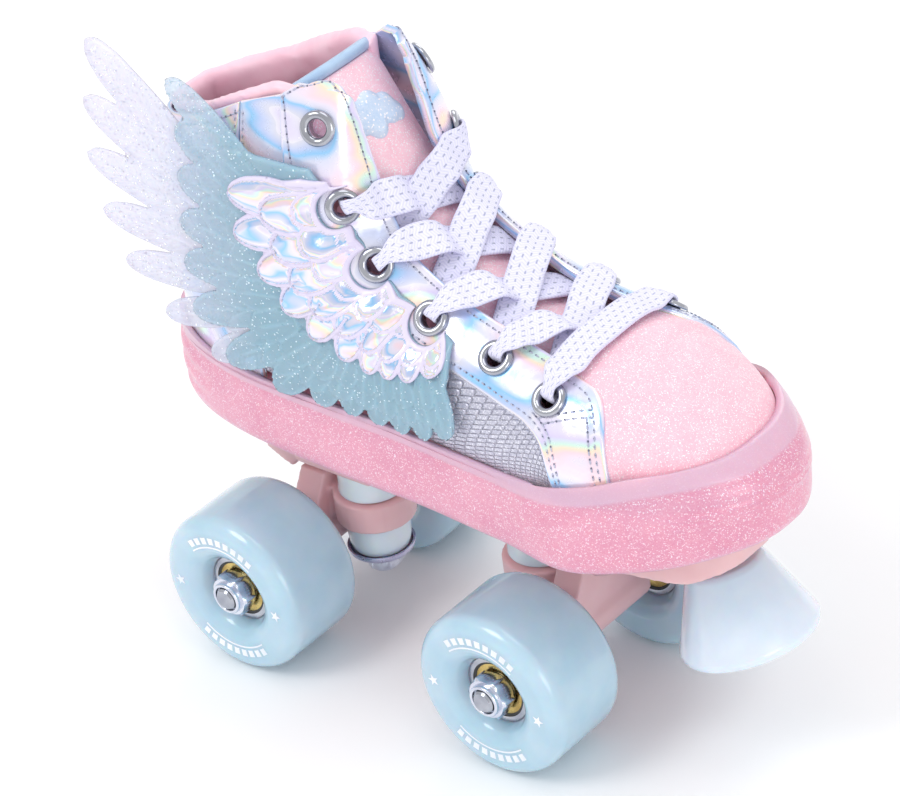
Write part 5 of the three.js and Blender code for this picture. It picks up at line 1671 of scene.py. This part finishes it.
for end in ("front", "rear"):
    for part, taper, fixed in (("lower_cushion", (1.4, 0.0), 0), ("upper_cushion", (0.0, 0.6), 1)):
        node = f"{end}_{part}"
        piece = hard_piece(
            f"{end}_urethane_{part}", cushion_parts(node, 0.5, taper), cushion_urethane, BOOT,
            "cushion_urethane", [node], crease=60,
        )
        anchor = tuple(v * MM for v in size_of(node)[fixed][:3])
        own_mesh(piece)
    low, high, middle = size_of(f"{end}_cushion_washer")
    rim = (high[0] - low[0]) / 2
    cup = rounded([
        (3.3, 0), (rim - 2.2, 0), (rim - 0.3, 1.4), (rim, high[2] - low[2]), (rim - 0.8, high[2] - low[2]),
        (rim - 1.5, 1.7), (3.3, 1.2),
    ], 0.5)
    hard_piece(f"{end}_cup_washer", upright([lathe(cup)], (middle[0], 0, low[2])), cup_zinc, BOOT,
               "zinc_steel", [f"{end}_cushion_washer"])
    low, high, middle = size_of(f"{end}_kingpin_nut")
    hard_piece(
        f"{end}_kingpin_lock_nut",
        upright(lock_nut(10.4, 3.2, 4.8, 1.2), (middle[0], 0, high[2]), True),
        zinc, BOOT, "zinc_steel", [f"{end}_kingpin_nut"],
    )
    low, high, middle = size_of(f"{end}_kingpin")
    shank = lathe([
        (0, low[2] + 12), (2.95, low[2] + 12), (2.95, high[2] - 3.5), (6, high[2] - 3.4), (6, high[2]),
        (0, high[2]),
    ], 32)
    thread = turned_to(pin_end(2.95, 12)[0], (0, 0, -1), (0, 0, low[2])), pin_end(2.95, 12)[1]
    hard_piece(f"{end}_kingpin_bolt", upright([shank, thread], (middle[0], 0, 0)), zinc, BOOT,
               "zinc_steel", [f"{end}_kingpin"])
    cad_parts[f"{end}_pivot_cup"].material_slots[0].material = pivot_rubber
print("truck pieces made, cushions", [round(v, 1) for v in size_of("front_upper_cushion")[1]])

# %% [markdown]
# ## Wheels
# A wheel is a cast tyre whose rounded edges run into a flat ring and a dished hub. It is
# turned from one profile, laid on its axle, and carries a pair of bearings with gold
# shields. A generic ring of dashes and two small stars are printed on the outer face.

# %% Wheels, bearings, nuts and axles
WHEEL_RADIUS, WHEEL_WIDTH, WHEEL_EDGE = 27.0, 32.0, 5.0
BEARING_FACE = WHEEL_WIDTH / 2 - 6.0


def tyre_profile():
    half = WHEEL_WIDTH / 2
    turn = np.linspace(0, math.pi / 2, 10)
    edge = [
        (WHEEL_RADIUS - WHEEL_EDGE * (1 - math.cos(t)), half - WHEEL_EDGE * (1 - math.sin(t))) for t in turn
    ]
    crown = [(WHEEL_RADIUS + 0.0, 0.0)]
    dish = rounded([
        (19, half), (16.6, half - 0.15), (14.6, half - 1.2),
        (12.9, half - 2.6), (11.3, half - 5.4), (9.4, 4),
    ], 0.6)[4:-4]
    face = [(21, half), (18.2, half - 0.02)]
    upper = [*edge, *face, *[tuple(p) for p in dish], (11.3, BEARING_FACE - 7.3), (9, BEARING_FACE - 7.3)]
    lower = [(r, -h) for r, h in upper][::-1]
    return [*crown, *upper, *lower]


def bearing_parts():
    """Outer race, dark seal, gold shield and inner race, on both sides of the wheel."""
    parts, choice = [], []
    for sign in (1, -1):
        face = BEARING_FACE * sign
        for shape, number in (
            ([(9.3, 0), (11, 0), (11, -7), (9.3, -7)], 0),
            ([(8.5, -0.45), (9.35, -0.3), (9.35, -6.5), (8.5, -6.5)], 1),
            ([(5.9, -0.6), (8.6, -0.55), (8.6, -6.4), (5.9, -6.4)], 2),
            ([(4.3, 0), (5.6, 0), (5.9, -7), (4.3, -7)], 0),
        ):
            points, faces = lathe(rounded(shape, 0.25, 2), 56)
            points = points * [1, 1, sign] + [0, 0, face]
            parts.append((points, faces))
            choice.append(number)
    return parts, choice


def star(radius, place, turn):
    """A five-pointed star as a thin solid."""
    angles = turn + np.arange(10) * math.pi / 5
    reach = np.where(np.arange(10) % 2 == 0, radius, radius * 0.42)
    flat = np.stack([place[0] + reach * np.cos(angles), place[1] + reach * np.sin(angles)], -1)
    return prism(flat)


def prism(flat, low=-0.1, high=0.09):
    points = np.concatenate([np.c_[flat, np.full(len(flat), low)], np.c_[flat, np.full(len(flat), high)]])
    n = len(flat)
    faces = [[i, (i + 1) % n, (i + 1) % n + n, i + n] for i in range(n)]
    return points, faces + [list(range(n))[::-1], list(range(n, 2 * n))]


def arc_bar(radius, width, start, end, steps):
    turn = np.linspace(start, end, steps)
    ring = np.stack([np.cos(turn), np.sin(turn)], -1)
    return prism(np.concatenate([ring * (radius + width / 2), (ring * (radius - width / 2))[::-1]]))


def face_print():
    """Two arcs of slanting dashes, each over a thin line, and a star at each end of them."""
    parts = []
    for middle in (math.radians(90), math.radians(270)):
        for i in range(-4, 5):
            at = middle + i * 0.155
            parts.append(arc_bar(20.2, 2.3, at - 0.05, at + 0.05, 5))
        parts.append(arc_bar(17.9, 0.5, middle - 0.7, middle + 0.7, 40))
    for at in (math.radians(0), math.radians(180)):
        parts.append(star(2.0, (19.8 * math.cos(at), 19.8 * math.sin(at)), at))
    return [(points + [0, 0, WHEEL_WIDTH / 2], faces) for points, faces in parts]


tyre_mesh = lathe(tyre_profile(), 120)
bearing_mesh, bearing_choice = bearing_parts()
print_mesh = face_print()
for end in ("front", "rear"):
    low, high, axle_middle = size_of(f"{end}_axle")
    for name, side in SIDES.items():
        corner = f"{end}_{name}"
        body = f"{corner}_wheel"
        hub = size_of(f"{corner}_tyre")[2]
        facing = (0, side, 0)

        def laid(parts, along=0.0):
            moved = hub + np.array(facing) * along
            return [(turned_to(points, facing, moved), faces) for points, faces in parts]

        hard_piece(f"{corner}_cast_tyre", laid([tyre_mesh]), wheel_urethane, body, "wheel_urethane",
                   [f"{corner}_tyre"], crease=60)
        hard_piece(
            f"{corner}_shielded_bearings", laid(bearing_mesh), [race_steel, dark_ring, gold_shield], body,
            "bearing_steel", [f"{corner}_bearings"], bearing_choice, crease=40,
        )
        hard_piece(f"{corner}_face_print", laid(print_mesh), wheel_print, body, "wheel_urethane", [])
        hard_piece(f"{corner}_lock_nut", laid(lock_nut(12.6, 4.1, 5.2, 1.6), BEARING_FACE + 0.3), zinc,
                   f"{end}_truck", "zinc_steel", [f"{corner}_axle_nut"])
    half = (high[1] - low[1]) / 2
    axle_radius, tip_length = 3.95, 12
    rod_end = half - tip_length
    rod = lathe([(0, -rod_end), (axle_radius, -rod_end), (axle_radius, rod_end), (0, rod_end)], 32)
    tip_points, tip_faces = pin_end(axle_radius, tip_length)
    tips = [(turned_to(tip_points, (0, 0, s), (0, 0, s * half)), tip_faces) for s in (1, -1)]
    bar = [(turned_to(points, (0, 1, 0), axle_middle), faces) for points, faces in [rod, *tips]]
    hard_piece(f"{end}_threaded_axle", bar, race_steel, f"{end}_truck", "zinc_steel", [f"{end}_axle"])
print("wheels done; tyre rings:", len(tyre_profile()))

# %% [markdown]
# ## Toe stop
# A flared plug of cloudy urethane, leaning forward, with a bolt through it. Its rim is
# rounded because it is dragged along the ground.

# %% Stop and bolt
STOP_LEAN = math.radians(17)
STOP_TOP = np.array([103.5, 0, 63.4])
STOP_HEIGHT, STOP_LOW_RADIUS, STOP_HIGH_RADIUS = 26.0, 21.6, 12.0
STOP_AXIS = (-math.sin(STOP_LEAN), 0, math.cos(STOP_LEAN))
stop_profile = rounded([
    (3.7, -STOP_HEIGHT + 6), (7, -STOP_HEIGHT + 6), (7.6, -STOP_HEIGHT),
    (STOP_LOW_RADIUS - 0.8, -STOP_HEIGHT), (STOP_LOW_RADIUS, -STOP_HEIGHT + 2.2),
    (STOP_HIGH_RADIUS + 0.2, -1.2), (STOP_HIGH_RADIUS - 1, 0), (3.7, 0),
], 1.1, 6)
stop_points, stop_faces = lathe(stop_profile, 96)
hard_piece(
    "flared_toe_stop", [(turned_to(stop_points, STOP_AXIS, STOP_TOP), stop_faces)], stop_urethane, BOOT,
    "stop_rubber", ["toe_stop"], crease=60,
)
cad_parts["toe_stop_bolt"].material_slots[0].material = zinc

# %% [markdown]
# ## Stitching
# Every overlay is sewn down with a thread that shows as short dashes between needle
# holes. A seam is a line of points lying on the panels. Geometry nodes walk along all the
# seams at an even spacing and lay one small bead of thread at each step, turned to follow
# the line. The same tree, started half a step later, lays dark beads at the needle holes: painted shade in
# the holes.

# %% Seams on the upper
STITCH = 2.3  # from one stitch to the next


def seam_on(place, u, v, off=0.12):
    u, v = np.broadcast_arrays(np.asarray(u, float), np.asarray(v, float))
    return place(u, v, np.full(u.shape, OVERLAY + off))


def upper_seams():
    seams = []
    run = np.linspace(0, 1, 160)
    for side in SIDES.values():
        place = eyestay_place(side)
        seams.append(seam_on(place, lerp(0.03, 0.97, run), 0.13, -0.1))
        seams.append(seam_on(place, lerp(0.03, 0.97, run), 0.88, -0.1))
        seams.append(seam_on(place, lerp(0.74, 0.985, run), 0.8))
        seams.append(seam_on(place, lerp(0.83, 0.985, run), 0.22))
        seams.append(seam_on(place, 0.022, lerp(0.15, 0.86, run)))
        for start in (0.76, 0.785):
            seams.append(seam_on(place, start + 0.045 * run, lerp(0.76, 0.16, run)))
        collar_edge = quarter_place(side)
        x = np.full(160, HEEL_SEAM)
        for shift in (-1.6, 1.8):
            height = lerp(FEATHERLINE + 4, float(collar_height(HEEL_SEAM)) - 3, run)
            seams.append(on_side(x + shift, height, side, 0.15))
        seams.append(collar_edge(np.full(160, COLLAR_END + 0.012), run, np.full(160, 0.15)))
    x, side = heel_station(lerp(-1, 1, np.linspace(0, 1, 320)), HEEL_SEAM)
    seams.append(on_side(x, collar_height(x) - 3.2, side, 0.15))
    return seams


def started_later(points, distance):
    """The same line with `distance` mm taken off its start."""
    run = np.concatenate([[0], np.cumsum(np.linalg.norm(np.diff(points, axis=0), axis=1))])
    at = np.concatenate([[distance], run[run > distance]])
    return np.stack([np.interp(at, run, points[:, i]) for i in range(3)], -1)


def line_mesh(name, lines):
    points, edges, start = [], [], 0
    for line in lines:
        points += (line * MM).tolist()
        edges += [(start + i, start + i + 1) for i in range(len(line) - 1)]
        start += len(line)
    mesh = bpy.data.meshes.new(name)
    mesh.from_pydata(points, edges, [])
    piece = bpy.data.objects.new(name, mesh)
    bpy.context.collection.objects.link(piece)
    return piece


def bead_tree():
    """Lays an even row of beads along the edges of a mesh."""
    tree = bpy.data.node_groups.new("bead_row", "GeometryNodeTree")
    face = tree.interface
    face.new_socket("Geometry", in_out="INPUT", socket_type="NodeSocketGeometry")
    for title in ("Spacing", "Bead length", "Bead width", "Bead height"):
        face.new_socket(title, in_out="INPUT", socket_type="NodeSocketFloat")
    face.new_socket("Finish", in_out="INPUT", socket_type="NodeSocketMaterial")
    face.new_socket("Geometry", in_out="OUTPUT", socket_type="NodeSocketGeometry")
    start, end = tree.nodes.new("NodeGroupInput"), tree.nodes.new("NodeGroupOutput")

    def add(kind, links, **settings):
        made = tree.nodes.new(kind)
        for key, value in settings.items():
            setattr(made, key, value)
        feed(tree, made, links)
        return made

    curve = add("GeometryNodeMeshToCurve", {"Mesh": start.outputs["Geometry"]})
    measure = {"Curve": curve.outputs[0], "Length": start.outputs["Spacing"]}
    even = add("GeometryNodeResampleCurve", measure, mode="LENGTH")
    bead = add("GeometryNodeMeshUVSphere", {"Segments": 8, "Rings": 5, "Radius": 0.5})
    size = add("ShaderNodeCombineXYZ", {
        "X": start.outputs["Bead width"], "Y": start.outputs["Bead height"],
        "Z": start.outputs["Bead length"],
    })
    shaped = add("GeometryNodeTransform", {"Geometry": bead.outputs[0], "Scale": size.outputs[0]})
    tangent = add("GeometryNodeInputTangent", {})
    turn = add("FunctionNodeAlignRotationToVector", {"Vector": tangent.outputs[0]}, axis="Z")
    laid = add("GeometryNodeInstanceOnPoints", {
        "Points": even.outputs[0], "Instance": shaped.outputs[0], "Rotation": turn.outputs[0],
    })
    real = add("GeometryNodeRealizeInstances", {"Geometry": laid.outputs[0]})
    finish = start.outputs["Finish"]
    dyed = add("GeometryNodeSetMaterial", {"Geometry": real.outputs[0], "Material": finish})
    tree.links.new(dyed.outputs[0], end.inputs[0])
    return tree


def lay_beads(name, lines, tree, sizes, finish, slot):
    """Runs the tree along the lines, and keeps the result as a plain mesh."""
    piece = line_mesh(name, lines)
    modifier = piece.modifiers.new("beads", "NODES")
    modifier.node_group = tree
    inputs = {item.name: item.identifier for item in tree.interface.items_tree if item.in_out == "INPUT"}
    for title, value in sizes.items():
        modifier[inputs[title]] = value * MM
    modifier[inputs["Finish"]] = finish
    apply_modifiers(piece)
    if not piece.data.materials:
        piece.data.materials.append(finish)
    return placed(piece, BOOT, slot)


seams = upper_seams()
beads = bead_tree()
stitches = lay_beads(
    "overlay_stitches", seams, beads,
    {"Spacing": STITCH, "Bead length": 1.6, "Bead width": 0.55, "Bead height": 0.55},
    thread_grey, "holographic_trim",
)
# Dark beads half a stitch along: painted shade in the needle holes.
lay_beads(
    "painted_needle_shade_beads", [started_later(line, STITCH / 2) for line in seams], beads,
    {"Spacing": STITCH, "Bead length": 0.75, "Bead width": 0.7, "Bead height": 0.5},
    needle_hole_shade, "holographic_trim",
)
print("stitches:", len(stitches.data.polygons) // 40, "seams:", len(seams))

# %% [markdown]
# ## The studio
# A plain pale floor, a large soft key light from the upper left, and weaker fills. The
# camera stands where the skate shows its outer side, its toe and the inside of its collar.

# %% Floor, lights and camera
def make_floor():
    size = 3000
    points = [[-size, -size, -0.4], [size, -size, -0.4], [size, size, -0.4], [-size, size, -0.4]]
    finish = Finish("pale_floor", Base_Color=colour(250, 250, 251), Roughness=0.8)
    finish.wire(Normal=finish.bump(finish.noise(40.0, 2.0), 0.02))
    floor = make_piece("studio_floor", points, [[0, 1, 2, 3]], finish.material, body=None)
    floor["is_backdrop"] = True


def soft_light(name, place, size, power, tint=(1.0, 1.0, 1.0)):
    lamp = bpy.data.lights.new(name, "AREA")
    lamp.shape = "DISK"
    lamp.size = size
    lamp.energy = power
    lamp.color = tint
    holder = bpy.data.objects.new(name, lamp)
    holder.location = place
    holder.rotation_mode = "QUATERNION"
    holder.rotation_quaternion = (Vector(place) - Vector((0.01, 0, 0.1))).to_track_quat("Z", "Y")
    bpy.context.collection.objects.link(holder)


make_floor()
soft_light("key", (-0.35, -0.95, 1.3), 0.7, 6.5)
soft_light("top", (0.3, 0.2, 1.6), 1.0, 4)
soft_light("front_fill", (1.5, -0.6, 0.5), 0.8, 4)
soft_light("back_fill", (-0.6, 1.3, 0.9), 0.9, 3.5)

world = bpy.data.worlds.new("studio_air")
world.use_nodes = True
world.node_tree.nodes["Background"].inputs["Color"].default_value = (1.0, 1.0, 1.0, 1.0)
world.node_tree.nodes["Background"].inputs["Strength"].default_value = 0.82
bpy.context.scene.world = world
bpy.context.scene.view_settings.view_transform = "Standard"


def make_camera(azimuth, elevation, roll, distance, focal, target, drop):
    """A camera round `target`. Angles are in degrees, and `drop` tilts the view up, lowering the target."""
    a, e, r = (math.radians(v) for v in (azimuth, elevation, roll))
    back = Vector((math.sin(a) * math.cos(e), -math.cos(a) * math.cos(e), math.sin(e)))
    right = (-back).cross(Vector((0, 0, 1))).normalized()
    up = right.cross(-back)
    right, up = math.cos(r) * right + math.sin(r) * up, -math.sin(r) * right + math.cos(r) * up
    location = Vector(target) * MM + back * distance * MM
    d = math.radians(drop)
    back, up = math.cos(d) * back - math.sin(d) * up, math.cos(d) * up + math.sin(d) * back
    lens = bpy.data.cameras.new("camera")
    lens.sensor_width = 36.0
    lens.lens = focal
    camera = bpy.data.objects.new("camera", lens)
    camera.matrix_world = Matrix((
        (right.x, up.x, back.x, location.x), (right.y, up.y, back.y, location.y),
        (right.z, up.z, back.z, location.z), (0, 0, 0, 1),
    ))
    bpy.context.collection.objects.link(camera)
    bpy.context.scene.camera = camera


make_camera(44.14, 33.36, -8.406, 1205.5, 158.61, (0, 0, 60), 1.0547)

# %% Sizes
visual_box = [list(corner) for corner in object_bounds()]
print("visual box in mm:", [[round(v / MM, 1) for v in corner] for corner in visual_box])
